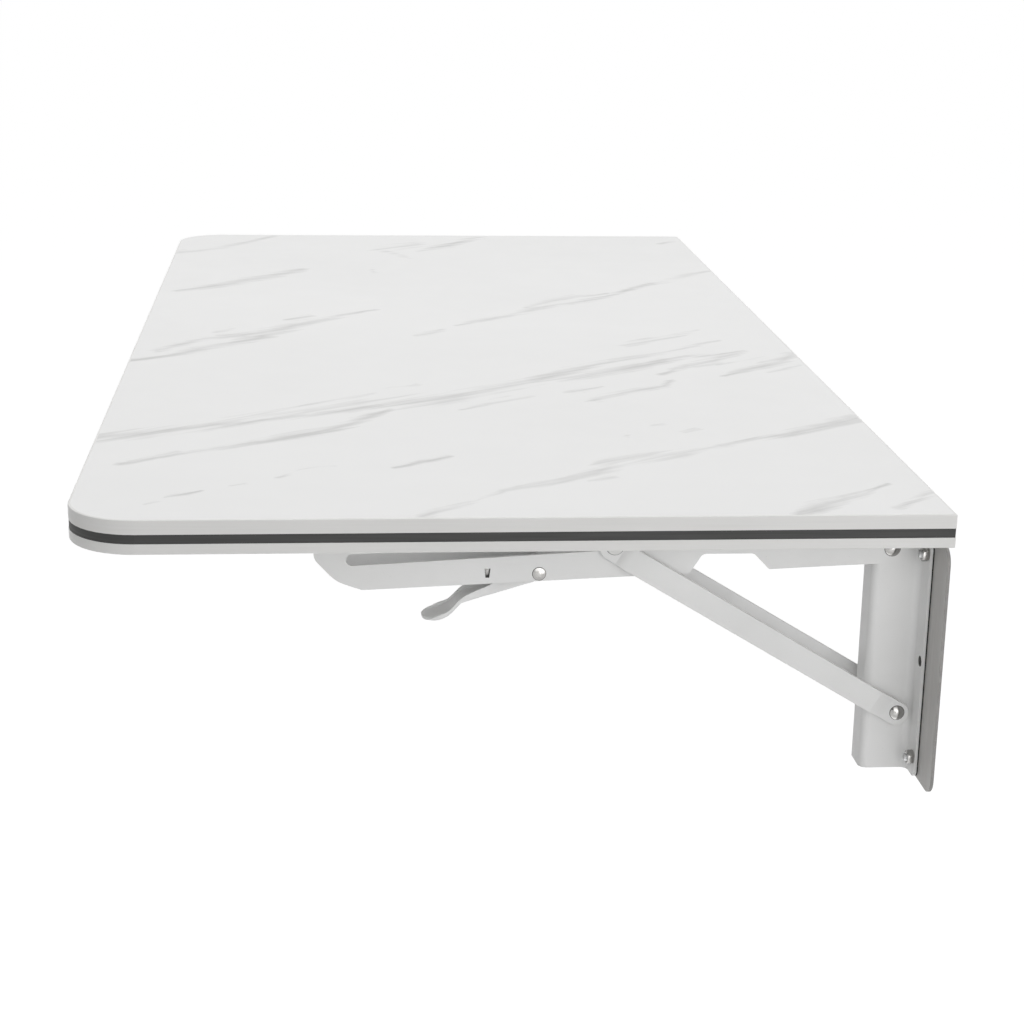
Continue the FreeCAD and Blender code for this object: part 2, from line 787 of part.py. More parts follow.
def lever_spring():
    """Torsion spring on the lever pin: one leg over the lever's wall, the other in the arm's slit."""
    first_along = lever_half + spring_end_clearance + spring_wire / 2
    last_along = arm_inner_half - spring_end_clearance - spring_wire / 2
    start_angle = math.pi + math.radians(spring_lever_leg_degrees)
    turn = spring_turns * 2 * math.pi + math.radians(spring_arm_leg_degrees - spring_lever_leg_degrees)
    pitch = (last_along - first_along) / turn

    def coil_point(angle):
        out = lever_pivot_out + spring_radius * math.sin(angle)
        drop = lever_pivot_drop - spring_radius * math.cos(angle)
        return place(out, drop, first_along + pitch * (angle - start_angle))

    def coil_way(angle, climb):
        way = Vector(climb, -spring_radius * math.cos(angle), -spring_radius * math.sin(angle))
        return way.normalize()

    quarters = int(spring_turns * 4)
    angles = [start_angle + turn * index / quarters for index in range(quarters + 1)]
    ways = [coil_way(angle, pitch) for angle in angles]
    ways[0] = coil_way(angles[0], 0)
    ways[-1] = coil_way(angles[-1], 0)
    coil = []
    for index in range(quarters):
        first, second = angles[index], angles[index + 1]
        coil += biarc(coil_point(first), ways[index], coil_point(second), ways[index + 1])

    coil_start = coil_point(angles[0])
    coil_end = coil_point(angles[-1])
    lever_corner = coil_start - ways[0] * spring_lever_leg
    lever_tip = lever_corner - ALONG_WALL * spring_lever_hook
    lever_bend_start = lever_corner - ALONG_WALL * spring_bend_radius
    lever_bend_end = lever_corner + ways[0] * spring_bend_radius
    arm_leg = (slit_beyond_pivot - spring_radius * math.sin(angles[-1])) / math.cos(angles[-1])
    arm_corner = coil_end + ways[-1] * arm_leg
    arm_tip = arm_corner + ALONG_WALL * spring_arm_hook
    arm_bend_start = arm_corner - ways[-1] * spring_bend_radius
    arm_bend_end = arm_corner + ALONG_WALL * spring_bend_radius
    edges = [
        Part.makeLine(lever_tip, lever_bend_start),
        tangent_arc(lever_bend_start, lever_corner, lever_bend_end),
        Part.makeLine(lever_bend_end, coil_start),
        *coil,
        Part.makeLine(coil_end, arm_bend_start),
        tangent_arc(arm_bend_start, arm_corner, arm_bend_end),
        Part.makeLine(arm_bend_end, arm_tip),
    ]
    samples = [coil_point(start_angle + turn * index / (quarters * points_per_quarter))
               for index in range(quarters * points_per_quarter + 1)]
    half_turn_steps = 2 * points_per_quarter
    least = min(
        (samples[index] - samples[other]).Length
        for index in range(len(samples))
        for other in range(index + half_turn_steps, len(samples))
    )
    print("lever spring: least gap between turns %.3f mm" % (least - spring_wire))
    circle = Part.Circle(lever_tip, ALONG_WALL, spring_wire / 2).toShape()
    return Part.Wire(edges).makePipeShell([Part.Wire(circle)], True, False)


def bracket_pieces():
    """Pieces of one bracket, standing in the plane X = 0 with its outer side towards +X."""
    return {
        "wall_plate": wall_plate(),
        "wall_studs": wall_studs(),
        "wall_nuts": wall_nuts(),
        "wall_pads": wall_pads(),
        "wall_bar": wall_bar(),
        "hinge_pin": rivet(hinge_pin_diameter, hinge_head_diameter, hinge_head_height,
                           hinge_out, hinge_drop, arm_outer_half),
        "brace_bar_outer": brace_bar(1),
        "brace_bar_inner": brace_bar(-1),
        "foot_pin": rivet(foot_pin_diameter, foot_head_diameter, foot_head_height,
                          foot_out, foot_drop, ear_outer_half),
        "foot_spacers": foot_spacers(),
        "head_rivets": head_rivets(),
        "slide_pin": slide_pin(),
        "arm": arm(),
        "arm_screws": arm_screws(),
        "release_lever": release_lever(),
        "lever_pin": rivet(lever_pin_diameter, lever_head_diameter, lever_head_height,
                           lever_pivot_out, lever_pivot_drop, arm_outer_half),
        "lever_spacer": lever_spacer(),
        "lever_spring": lever_spring(),
    }


def tabletop_pieces(screws):
    """Pieces of the board, with pilot holes for the arms' screws."""
    stripe_bottom = top_height - upper_band_height - stripe_height
    upper_bottom = top_height - upper_band_height
    core = panel_block(edge_band, core_bottom, top_height - marble_sheet)
    backing = panel_block(edge_band, underside_height, core_bottom)
    return {
        "tabletop_core": core.cut(screws),
        "marble_laminate": panel_block(edge_band, top_height - marble_sheet, top_height),
        "backing_laminate": backing.cut(screws),
        "edge_band_upper": edge_ring(0, upper_bottom, top_height, top_height),
        "edge_band_stripe": edge_ring(stripe_recess, stripe_bottom, upper_bottom, None),
        "edge_band_lower": edge_ring(0, underside_height, stripe_bottom, underside_height),
    }


def all_pieces():
    """Every piece of the table by its node name."""
    pieces = {}
    for name, shape in bracket_pieces().items():
        right = shape.copy()
        right.translate(ALONG_WALL * bracket_offset)
        pieces[name + "_right"] = right
        pieces[name + "_left"] = right.mirror(Vector(), ALONG_WALL)
    screws = Part.Compound([pieces["arm_screws_right"], pieces["arm_screws_left"]])
    pieces.update(tabletop_pieces(screws))
    return pieces


os.makedirs("parts", exist_ok=True)
for node, piece in all_pieces().items():
    state = "valid" if piece.isValid() else "not valid"
    print("%-24s %d solid(s), %s, %.1f mm3" % (node, len(piece.Solids), state, piece.Volume))
    piece.exportStep("parts/" + node + ".step")
print("slide travel %.4f mm, brace turn %.4f degrees" % (slide_travel(), math.degrees(brace_turn())))
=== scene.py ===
"""Wall mounted drop leaf table: finishes, hand-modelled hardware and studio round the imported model."""

from __future__ import annotations

import json
import logging
import math
from dataclasses import dataclass
from enum import Enum
from typing import Callable, Sequence

import bpy
from mathutils import Matrix, Quaternion, Vector

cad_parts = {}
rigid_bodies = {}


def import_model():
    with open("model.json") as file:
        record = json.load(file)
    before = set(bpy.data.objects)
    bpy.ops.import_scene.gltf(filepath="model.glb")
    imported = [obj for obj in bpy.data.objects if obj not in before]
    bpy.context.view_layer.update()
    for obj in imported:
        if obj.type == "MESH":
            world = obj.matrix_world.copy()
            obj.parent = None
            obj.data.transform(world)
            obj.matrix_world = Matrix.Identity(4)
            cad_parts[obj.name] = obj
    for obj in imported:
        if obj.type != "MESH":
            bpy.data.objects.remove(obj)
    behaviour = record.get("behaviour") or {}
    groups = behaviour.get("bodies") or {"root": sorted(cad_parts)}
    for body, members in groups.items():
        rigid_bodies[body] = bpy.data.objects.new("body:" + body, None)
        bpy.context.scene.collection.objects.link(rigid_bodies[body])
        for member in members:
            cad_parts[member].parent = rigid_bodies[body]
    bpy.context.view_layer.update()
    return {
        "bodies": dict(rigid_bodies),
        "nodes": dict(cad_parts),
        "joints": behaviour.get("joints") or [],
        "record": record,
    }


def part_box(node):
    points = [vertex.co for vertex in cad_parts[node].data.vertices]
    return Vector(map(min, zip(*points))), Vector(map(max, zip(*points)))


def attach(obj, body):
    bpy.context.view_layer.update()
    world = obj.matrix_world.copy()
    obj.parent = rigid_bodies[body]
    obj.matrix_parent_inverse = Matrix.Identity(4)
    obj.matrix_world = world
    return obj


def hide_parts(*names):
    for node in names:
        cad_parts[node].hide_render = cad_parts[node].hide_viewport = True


LOG = logging.getLogger("drop_leaf_table")
MM = 0.001
QUARTER_TURN = math.pi / 2.0

Point = tuple[float, float]
Triple = tuple[float, float, float]
Colour = Triple
Face = bpy.types.MeshPolygon
FaceTest = Callable[[Face], bool]
Material = bpy.types.Material
Piece = bpy.types.Object
Socket = bpy.types.NodeSocket


class Side(Enum):
    """The two ends of the board, by the sign of X."""

    RIGHT = 1
    LEFT = -1

    @property
    def label(self) -> str:
        """Name ending that the side's nodes and bodies carry."""
        return self.name.lower()

    def node(self, base: str) -> str:
        """Full name of a node or body on this side."""
        return f"{base}_{self.label}"


class NodeGraph:
    """Node tree, with the few steps that finishes, floor and surroundings are mixed from."""

    colour_inputs = slice(6, 8)
    colour_output = 2

    def __init__(self, tree: bpy.types.NodeTree) -> None:
        """Work on a node tree."""
        self.tree = tree

    def feed(self, socket: Socket, value: object) -> None:
        """Link a socket into another, or set its value. A colour is made opaque.

        Args:
            socket: Input to feed.
            value: Socket to link, or value to set.
        """
        if isinstance(value, Socket):
            self.tree.links.new(value, socket)
        else:
            socket.default_value = (*value, 1.0) if socket.type == "RGBA" else value

    def add(self, kind: str, *inputs: object, **settings: object) -> bpy.types.Node:
        """Add a node, set its properties and feed its inputs.

        Args:
            kind: Blender's node type.
            *inputs: Sockets or values for its inputs, in their order.
            **settings: Properties of the node.

        Returns:
            The new node.
        """
        node = self.tree.nodes.new(kind)
        for key, value in settings.items():
            setattr(node, key, value)
        for socket, value in zip(node.inputs, inputs):
            self.feed(socket, value)
        return node

    def math(self, operation: str, *inputs: object, clamp: bool = False) -> Socket:
        """Work out a number, kept between 0 and 1 where clamped."""
        return self.add("ShaderNodeMath", *inputs, operation=operation, use_clamp=clamp).outputs[0]

    def vector(self, operation: str, *inputs: object) -> Socket:
        """Work out a vector."""
        return self.add("ShaderNodeVectorMath", *inputs, operation=operation).outputs["Vector"]

    def measure(self, operation: str, *inputs: object) -> Socket:
        """Work out a number from vectors."""
        return self.add("ShaderNodeVectorMath", *inputs, operation=operation).outputs["Value"]

    def spread(self, value: Socket, low: float, high: float, to_low: float, to_high: float) -> Socket:
        """Map a range of numbers onto another, clamped."""
        return self.add("ShaderNodeMapRange", value, low, high, to_low, to_high).outputs["Result"]

    def blend(self, factor: object, first: object, second: object) -> Socket:
        """Mix two colours.

        Args:
            factor: Share of the second colour.
            first: First colour or socket.
            second: Second colour or socket.

        Returns:
            The mixed colour's socket.
        """
        node = self.add("ShaderNodeMix", factor, data_type="RGBA")
        for socket, colour in zip(node.inputs[self.colour_inputs], (first, second)):
            self.feed(socket, colour)
        return node.outputs[self.colour_output]


class Finish(NodeGraph):
    """Node tree of one finish: a principled shader over textures in the piece's own coordinates."""

    noise_range: Point = (0.3, 0.7)

    def __init__(self, name: str) -> None:
        """Start a material with a plain shader.

        Args:
            name: Name of the material.
        """
        self.material = bpy.data.materials.new(name)
        self.material.use_nodes = True
        super().__init__(self.material.node_tree)
        self.shader = self.tree.nodes["Principled BSDF"]
        self.place = self.add("ShaderNodeTexCoord").outputs["Object"]

    def set(self, **values: object) -> None:
        """Set or link the shader's own sockets, named with underscores for spaces."""
        for key, value in values.items():
            self.feed(self.shader.inputs[key.replace("_", " ")], value)

    def mapped(self, stretch: Triple, turn: float = 0.0) -> Socket:
        """Turn the piece's coordinates about Z and then stretch them.

        Args:
            stretch: Scale along the turned axes.
            turn: Turn about Z in degrees.

        Returns:
            The mapped vector's socket.
        """
        turned = self.add("ShaderNodeMapping", self.place, vector_type="POINT")
        turned.inputs["Rotation"].default_value = (0.0, 0.0, math.radians(turn))
        return self.vector("MULTIPLY", turned.outputs[0], stretch)

    def noise(self, scale: float, detail: float, place: Socket | None = None, output: str = "Fac") -> Socket:
        """Lay noise over the piece.

        Args:
            scale: Cells per metre.
            detail: Octaves.
            place: Coordinates, the piece's own if left out.
            output: Output to take, "Color" for three channels.

        Returns:
            The noise's socket.
        """
        node = self.add("ShaderNodeTexNoise", place or self.place)
        node.inputs["Scale"].default_value = scale
        node.inputs["Detail"].default_value = detail
        return node.outputs[output]

    def streaks(self, stretch: Triple, detail: float, turn: float = 0.0) -> Socket:
        """Lay noise stretched into streaks, in cells per metre along each turned axis."""
        return self.noise(1.0, detail, self.mapped(stretch, turn))

    def weighed(self, first: Socket, share: float, second: Socket) -> Socket:
        """Add two textures, the first by its share and the second by the rest."""
        rest = self.math("MULTIPLY", second, 1.0 - share)
        return self.math("ADD", self.math("MULTIPLY", first, share), rest)

    def between(self, tone: Socket, ends: Point, light: Colour, dark: Colour) -> Socket:
        """Pass from a light colour to a dark one as a texture passes from one number to another."""
        return self.blend(self.spread(tone, *ends, 0.0, 1.0), light, dark)

    def roughen(self, texture: Socket, low: float, high: float) -> None:
        """Let the roughness follow a texture from a low value to a high one."""
        self.set(Roughness=self.spread(texture, *self.noise_range, low, high))

    def relief(self, height: Socket, strength: float, depth: float) -> None:
        """Give the surface a bump from a height.

        Args:
            height: Height's socket, 0 to 1.
            strength: Share of the bump that shows.
            depth: Depth of the bump in metres.
        """
        node = self.add("ShaderNodeBump")
        for name, value in (("Strength", strength), ("Distance", depth), ("Height", height)):
            self.feed(node.inputs[name], value)
        self.set(Normal=node.outputs["Normal"])


@dataclass(frozen=True)
class Vein:
    """One grey stroke of the print: its tone, then X, Y and half width at each knot, in millimetres."""

    tone: float
    knots: tuple[Triple, ...]


VEINS: tuple[Vein, ...] = (
    Vein(0.85, ((320, -502, 9.5), (300, -460, 8), (285, -430, 6), (272, -395, 5), (257, -360, 5.5),
                (236, -320, 6))),
    Vein(0.45, ((290, -440, 5), (268, -405, 11), (248, -370, 14), (228, -335, 14), (215, -300, 12))),
    Vein(0.66, ((236, -320, 7), (232, -310, 10), (212, -270, 11), (185, -240, 10), (163, -210, 8))),
    Vein(0.75, ((163, -210, 7), (135, -190, 9), (107, -160, 7), (90, -140, 6.5), (70, -110, 4.5),
                (20, -50, 3))),
    Vein(0.85, ((165, -212, 5), (142, -170, 7), (125, -140, 8), (97, -110, 5.5), (77, -85, 4.5),
                (70, -60, 5), (57, -37, 3))),
    Vein(0.75, ((142, -115, 2.5), (117, -95, 4), (97, -70, 6.5), (80, -60, 6), (57, -37, 3))),
    Vein(0.50, ((235, -372, 2), (215, -345, 5), (200, -325, 3))),
    Vein(0.60, ((184, -318, 2), (170, -294, 3))),
    Vein(0.55, ((246, -266, 2), (232, -248, 3.5), (206, -215, 2.5))),
    Vein(0.45, ((214, -245, 2), (205, -233, 3))),
    Vein(0.85, ((382, -480, 3), (355, -440, 3), (337, -410, 4), (322, -385, 6), (300, -355, 6.5),
                (272, -335, 5), (245, -315, 3))),
    Vein(0.60, ((374, -476, 2), (352, -446, 3))),
    Vein(0.80, ((277, -2, 9), (297, -35, 8), (315, -60, 5.5), (327, -85, 4.5), (345, -110, 4))),
    Vein(0.58, ((345, -110, 4), (365, -140, 6), (382, -180, 7.5), (400, -190, 6))),
    Vein(0.66, ((400, -190, 6), (420, -210, 5), (447, -255, 3.5), (465, -270, 2.5), (487, -295, 4),
                (497, -302, 3))),
    Vein(0.50, ((426, -201, 2), (417, -187, 3))),
    Vein(0.95, ((501, -93, 4), (482, -75, 7), (465, -57, 5), (452, -42, 3.5), (435, -27, 2.5))),
    Vein(0.50, ((486, -33, 3), (470, -18, 3.5), (452, -4, 4))),
    Vein(0.85, ((147, -70, 3), (117, -40, 5), (92, -15, 7), (70, -2, 7))),
    Vein(0.42, ((108, -66, 2), (82, -24, 4))),
    Vein(0.46, ((132, -35, 2.5), (107, -4, 4))),
    Vein(0.70, ((220, -175, 4), (197, -150, 5.5), (177, -120, 3.5), (160, -110, 2.5))),
    Vein(0.60, ((195, -186, 4), (188, -178, 4), (177, -164, 2))),
    Vein(0.55, ((40, -130, 4), (22, -110, 5), (2, -80, 3.5), (-22, -60, 2.5))),
    Vein(0.75, ((87, -502, 5), (75, -475, 4), (52, -455, 6), (32, -430, 6), (2, -405, 6))),
    Vein(0.70, ((55, -485, 5), (27, -460, 5), (10, -450, 6), (0, -420, 5))),
    Vein(0.80, ((0, -440, 4), (-10, -410, 9), (-30, -390, 9), (-50, -375, 7), (-67, -355, 5),
                (-105, -317, 3))),
    Vein(0.50, ((-18, -443, 4), (-30, -430, 4))),
    Vein(0.50, ((-62, -388, 3), (-80, -370, 4))),
    Vein(0.80, ((-40, -252, 3), (-55, -237, 5), (-100, -190, 6), (-125, -165, 5.5), (-140, -140, 5.5),
                (-160, -122, 6), (-175, -110, 4), (-210, -85, 3.5), (-230, -66, 6))),
    Vein(0.75, ((-115, -190, 4), (-142, -165, 6), (-165, -140, 5.5), (-180, -115, 4))),
    Vein(0.45, ((-212, -85, 3), (-230, -65, 7), (-250, -45, 8), (-297, -5, 5))),
    Vein(0.65, ((-190, -485, 4), (-202, -470, 6), (-220, -450, 6), (-240, -430, 8), (-265, -405, 9),
                (-297, -380, 5))),
    Vein(0.55, ((-392, -502, 9), (-402, -480, 8), (-425, -455, 5), (-490, -410, 4))),
    Vein(0.45, ((-412, -310, 8), (-427, -295, 14), (-445, -270, 10))),
    Vein(0.50, ((-365, -282, 5), (-390, -295, 6), (-412, -310, 5))),
    Vein(0.60, ((-402, -270, 6), (-435, -240, 7), (-467, -220, 6), (-487, -206, 6))),
    Vein(0.45, ((-450, -26, 4), (-484, -4, 5))),
    Vein(0.36, ((-283, -315, 3.5), (-297, -314, 3.5))),
    Vein(0.42, ((2, -288, 2), (-10, -275, 5), (-22, -266, 3))),
    Vein(0.90, ((454, -447, 1.8), (447, -437, 3), (441, -429, 1.8))),
    Vein(0.50, ((468, -458, 1.6), (462, -452, 2.2))),
    Vein(0.48, ((430, -410, 1.6), (426, -404, 2.2))),
    Vein(0.65, ((415, -386, 2), (400, -372, 2.5), (390, -350, 2))),
    Vein(0.65, ((392, -316, 1.8), (387, -308, 3), (367, -284, 2.4))),
    Vein(0.42, ((484, -488, 2), (480, -482, 2))),
    Vein(0.36, ((290, -144, 3), (291, -138, 3))),
    Vein(0.46, ((309, -126, 2.5), (303, -116, 3))),
    Vein(0.36, ((316, -164, 3), (322, -163, 2))),
)


@dataclass(frozen=True)
class MarblePrint:
    """Satin laminate with a printed marble: soft clouds, placed veins and fine streaks along them.

    Reaches and depths are in metres, scales in cells per metre.
    """

    ground: Colour = (0.842, 0.842, 0.838)
    cloud: Colour = (0.822, 0.822, 0.818)
    grey: Colour = (0.560, 0.558, 0.552)
    cloud_scale: float = 5.0
    cloud_ends: Point = (0.35, 0.70)
    wander_scale: float = 13.0
    wander_reach: float = 0.013
    ripple_scale: float = 75.0
    ripple_reach: float = 0.006
    hair: float = 1e-9
    spread_out: float = 1.9
    grain_turn: float = -33.7
    strand: Triple = (170.0, 10.0, 1.0)
    strand_share: float = 1.8
    thread: Triple = (520.0, 26.0, 1.0)
    thread_share: float = 0.8
    ragged_scale: float = 16.0
    ragged_map: tuple[float, float, float, float] = (0.30, 0.65, -0.16, 0.10)
    shade_map: tuple[float, float, float, float] = (0.16, 1.00, 0.0, 0.84)
    mask_slope: float = 7.0
    gloss_scale: float = 45.0
    gloss: Point = (0.42, 0.52)
    specular: float = 0.22
    skin_scale: float = 1400.0
    skin_strength: float = 0.10
    skin_depth: float = 0.00006

    def run_group(self) -> bpy.types.NodeTree:
        """Make the node group that adds one straight run of a vein to the runs before it.

        The place is nudged by a hair of what came before, so that the runs are worked out one by one.

        Returns:
            The group, which gives the run's tone on its line, nothing past its width, or what came before.
        """
        tree = bpy.data.node_groups.new("vein_run", "ShaderNodeTree")
        for name, kind in (
            ("Before", "Float"), ("Place", "Vector"), ("Start", "Vector"), ("Run", "Vector"),
            ("Share", "Vector"), ("Width", "Float"), ("Taper", "Float"), ("Tone", "Float"),
        ):
            tree.interface.new_socket(name, in_out="INPUT", socket_type=f"NodeSocket{kind}")
        tree.interface.new_socket("Strength", in_out="OUTPUT", socket_type="NodeSocketFloat")
        graph = NodeGraph(tree)
        given = graph.add("NodeGroupInput").outputs
        result = graph.add("NodeGroupOutput").inputs
        nudge = (self.hair, self.hair, 0.0)
        place = graph.vector("MULTIPLY_ADD", given["Before"], nudge, given["Place"])
        away = graph.vector("SUBTRACT", place, given["Start"])
        along = graph.measure("DOT_PRODUCT", away, given["Share"])
        kept = graph.math("ADD", along, 0.0, clamp=True)
        foot = graph.vector("MULTIPLY", given["Run"], kept)
        gap = graph.measure("DISTANCE", away, foot)
        width = graph.math("MULTIPLY_ADD", kept, given["Taper"], given["Width"])
        near = graph.math("SUBTRACT", 1.0, graph.math("DIVIDE", gap, width), clamp=True)
        strength = graph.math("MULTIPLY", near, given["Tone"])
        graph.feed(result["Strength"], graph.math("MAXIMUM", strength, given["Before"]))
        return tree

    def wavering_place(self, graph: Finish) -> Socket:
        """Let the coordinates on the board waver, so that straight runs look drawn by hand.

        Args:
            graph: Node tree of the print.

        Returns:
            The coordinates' socket.
        """
        place = graph.place
        for scale, reach in ((self.wander_scale, self.wander_reach), (self.ripple_scale, self.ripple_reach)):
            sway = graph.vector("SUBTRACT", graph.noise(scale, detail=2.0, output="Color"), (0.5, 0.5, 0.5))
            place = graph.vector("ADD", place, graph.vector("MULTIPLY", sway, (reach, reach, 0.0)))
        return graph.vector("MULTIPLY", place, (1.0, 1.0, 0.0))

    def draw_veins(self, graph: Finish) -> Socket:
        """Draw the veins run by run.

        Args:
            graph: Node tree of the print.

        Returns:
            Socket of the veins' strength.
        """
        place, group = self.wavering_place(graph), self.run_group()
        total: object = 0.0
        for vein in VEINS:
            for (x, y, half), (end_x, end_y, end_half) in zip(vein.knots, vein.knots[1:]):
                start = (x * MM, y * MM, 0.0)
                run = Vector((end_x - x, end_y - y, 0.0)) * MM
                width = half * self.spread_out * MM
                taper = (end_half - half) * self.spread_out * MM
                values = (total, place, start, run, run / run.length_squared, width, taper, vein.tone)
                total = graph.add("ShaderNodeGroup", *values, node_tree=group).outputs[0]
        return total

    def make(self) -> Material:
        """Mix the print.

        Returns:
            Its material.
        """
        graph = Finish("marble_print")
        total = self.draw_veins(graph)
        ragged = graph.spread(graph.noise(self.ragged_scale, detail=2.0), *self.ragged_map)
        strands = graph.streaks(self.strand, detail=4.0, turn=self.grain_turn)
        threads = graph.streaks(self.thread, detail=3.0, turn=self.grain_turn)
        for texture, share in ((strands, self.strand_share), (threads, self.thread_share)):
            swing = graph.math("SUBTRACT", texture, 0.5)
            ragged = graph.math("ADD", ragged, graph.math("MULTIPLY", swing, share))
        mask = graph.math("MULTIPLY", total, self.mask_slope, clamp=True)
        shade = graph.spread(graph.math("ADD", total, ragged), *self.shade_map)
        shade = graph.math("MULTIPLY", shade, mask)
        mist = graph.noise(self.cloud_scale, detail=3.0)
        clouds = graph.between(mist, self.cloud_ends, self.ground, self.cloud)
        graph.set(Base_Color=graph.blend(shade, clouds, self.grey), Specular_IOR_Level=self.specular)
        graph.roughen(graph.noise(self.gloss_scale, detail=3.0), *self.gloss)
        graph.relief(graph.noise(self.skin_scale, detail=2.0), self.skin_strength, self.skin_depth)
        return graph.material


@dataclass(frozen=True)
class SatinPlastic:
    """Moulded or extruded plastic: faint tone drift, fine pull lines and a satin skin."""

    name: str
    light: Colour
    dark: Colour
    roughness: float
    lines: Triple = (18.0, 18.0, 900.0)
    skin: float = 1800.0
    drift: float = 9.0
    pull_share: float = 0.45
    tone_ends: Point = (0.35, 0.65)
    gloss_swing: Point = (-0.05, 0.07)
    pull_height: float = 0.6
    skin_strength: float = 0.16
    skin_depth: float = 0.00008

    def make(self) -> Material:
        """Mix the plastic.

        Returns:
            Its material.
        """
        graph = Finish(self.name)
        pull = graph.streaks(self.lines, detail=3.0)
        tone = graph.weighed(pull, self.pull_share, graph.noise(self.drift, detail=2.0))
        graph.set(Base_Color=graph.between(tone, self.tone_ends, self.light, self.dark))
        graph.roughen(pull, *(self.roughness + swing for swing in self.gloss_swing))
        ridges = graph.math("MULTIPLY", pull, self.pull_height)
        height = graph.math("ADD", ridges, graph.noise(self.skin, detail=2.0))
        graph.relief(height, self.skin_strength, self.skin_depth)
        return graph.material


@dataclass(frozen=True)
class PowderCoat:
    """White powder coat on sheet steel: orange peel, slight drift in tone and gloss, dust specks."""

    name: str = "powder_coat"
    light: Colour = (0.795, 0.795, 0.790)
    dark: Colour = (0.745, 0.745, 0.738)
    speck: Colour = (0.560, 0.555, 0.540)
    drift: float = 16.0
    drift_ends: Point = (0.35, 0.68)
    speck_scale: float = 950.0
    speck_map: tuple[float, float, float, float] = (0.765, 0.80, 0.0, 0.45)
    gloss: Point = (0.36, 0.50)
    peel: float = 620.0
    fine: float = 2600.0
    fine_height: float = 0.3
    peel_strength: float = 0.22
    peel_depth: float = 0.00012

    def make(self) -> Material:
        """Mix the coat.

        Returns:
            Its material.
        """
        graph = Finish(self.name)
        peel = graph.noise(self.peel, detail=2.0)
        fine = graph.math("MULTIPLY", graph.noise(self.fine, detail=1.0), self.fine_height)
        coat = graph.between(graph.noise(self.drift, detail=3.0), self.drift_ends, self.light, self.dark)
        specks = graph.spread(graph.noise(self.speck_scale, detail=1.0), *self.speck_map)
        graph.set(Base_Color=graph.blend(specks, coat, self.speck))
        graph.roughen(peel, *self.gloss)
        graph.relief(graph.math("ADD", peel, fine), self.peel_strength, self.peel_depth)
        return graph.material


@dataclass(frozen=True)
class BareMetal:
    """Metal with its own polish, brush or plating: stretched scratches, patchy tone and gloss."""

    name: str
    light: Colour
    dark: Colour
    gloss: Point
    brush: Triple
    patch: float
    depth: float = 0.00004
    metallic: float = 1.0
    scratch_share: float = 0.6
    scratch_strength: float = 0.20
    tone_ends: Point = (0.34, 0.66)

    def make(self) -> Material:
        """Mix the metal.

        Returns:
            Its material.
        """
        graph = Finish(self.name)
        scratch = graph.streaks(self.brush, detail=4.0)
        tone = graph.weighed(scratch, self.scratch_share, graph.noise(self.patch, detail=3.0))
        colour = graph.between(tone, self.tone_ends, self.light, self.dark)
        graph.set(Base_Color=colour, Metallic=self.metallic)
        graph.roughen(tone, *self.gloss)
        graph.relief(scratch, self.scratch_strength, self.depth)
        return graph.material


@dataclass(frozen=True)
class Chipboard:
    """Pressed wood chips in several browns, with dark resin between them."""

    pale: Colour = (0.560, 0.405, 0.240)
    brown: Colour = (0.330, 0.205, 0.105)
    chip: Triple = (260.0, 90.0, 420.0)
    fibre: Triple = (1500.0, 200.0, 1500.0)
    turn: float = 20.0
    chip_share: float = 0.7
    gloss: Point = (0.70, 0.90)
    chip_strength: float = 0.4
    chip_depth: float = 0.0003

    def make(self) -> Material:
        """Mix the board.

        Returns:
            Its material.
        """
        graph = Finish("chipboard")
        chips = graph.add("ShaderNodeTexVoronoi", graph.mapped(self.chip, self.turn), feature="F1")
        chips.inputs["Scale"].default_value = 1.0
        tint = graph.add("ShaderNodeSeparateColor", chips.outputs["Color"]).outputs[0]
        fibre = graph.streaks(self.fibre, detail=3.0, turn=self.turn)
        tone = graph.weighed(tint, self.chip_share, fibre)
        graph.set(Base_Color=graph.blend(tone, self.pale, self.brown))
        graph.roughen(fibre, *self.gloss)
        graph.relief(chips.outputs["Distance"], self.chip_strength, self.chip_depth)
        return graph.material


@dataclass(frozen=True)
class FoamPad:
    """Dark closed-cell foam for the pads between the wall bar's flanges and the plate; its near-black is
    painted shade, standing for the shadow in the gap there.
    """

    light: Colour = (0.040, 0.039, 0.038)
    dark: Colour = (0.018, 0.018, 0.018)
    cell: float = 1500.0
    tone_ends: Point = (0.35, 0.65)
    gloss: Point = (0.82, 0.95)
    cell_strength: float = 0.5
    cell_depth: float = 0.0002

    def make(self) -> Material:
        """Mix the near-black foam that paints the shadow gap.

        Returns:
            Its material.
        """
        graph = Finish("foam_pad")
        cells = graph.noise(self.cell, detail=3.0)
        graph.set(Base_Color=graph.between(cells, self.tone_ends, self.light, self.dark))
        graph.roughen(cells, *self.gloss)
        graph.relief(cells, self.cell_strength, self.cell_depth)
        return graph.material


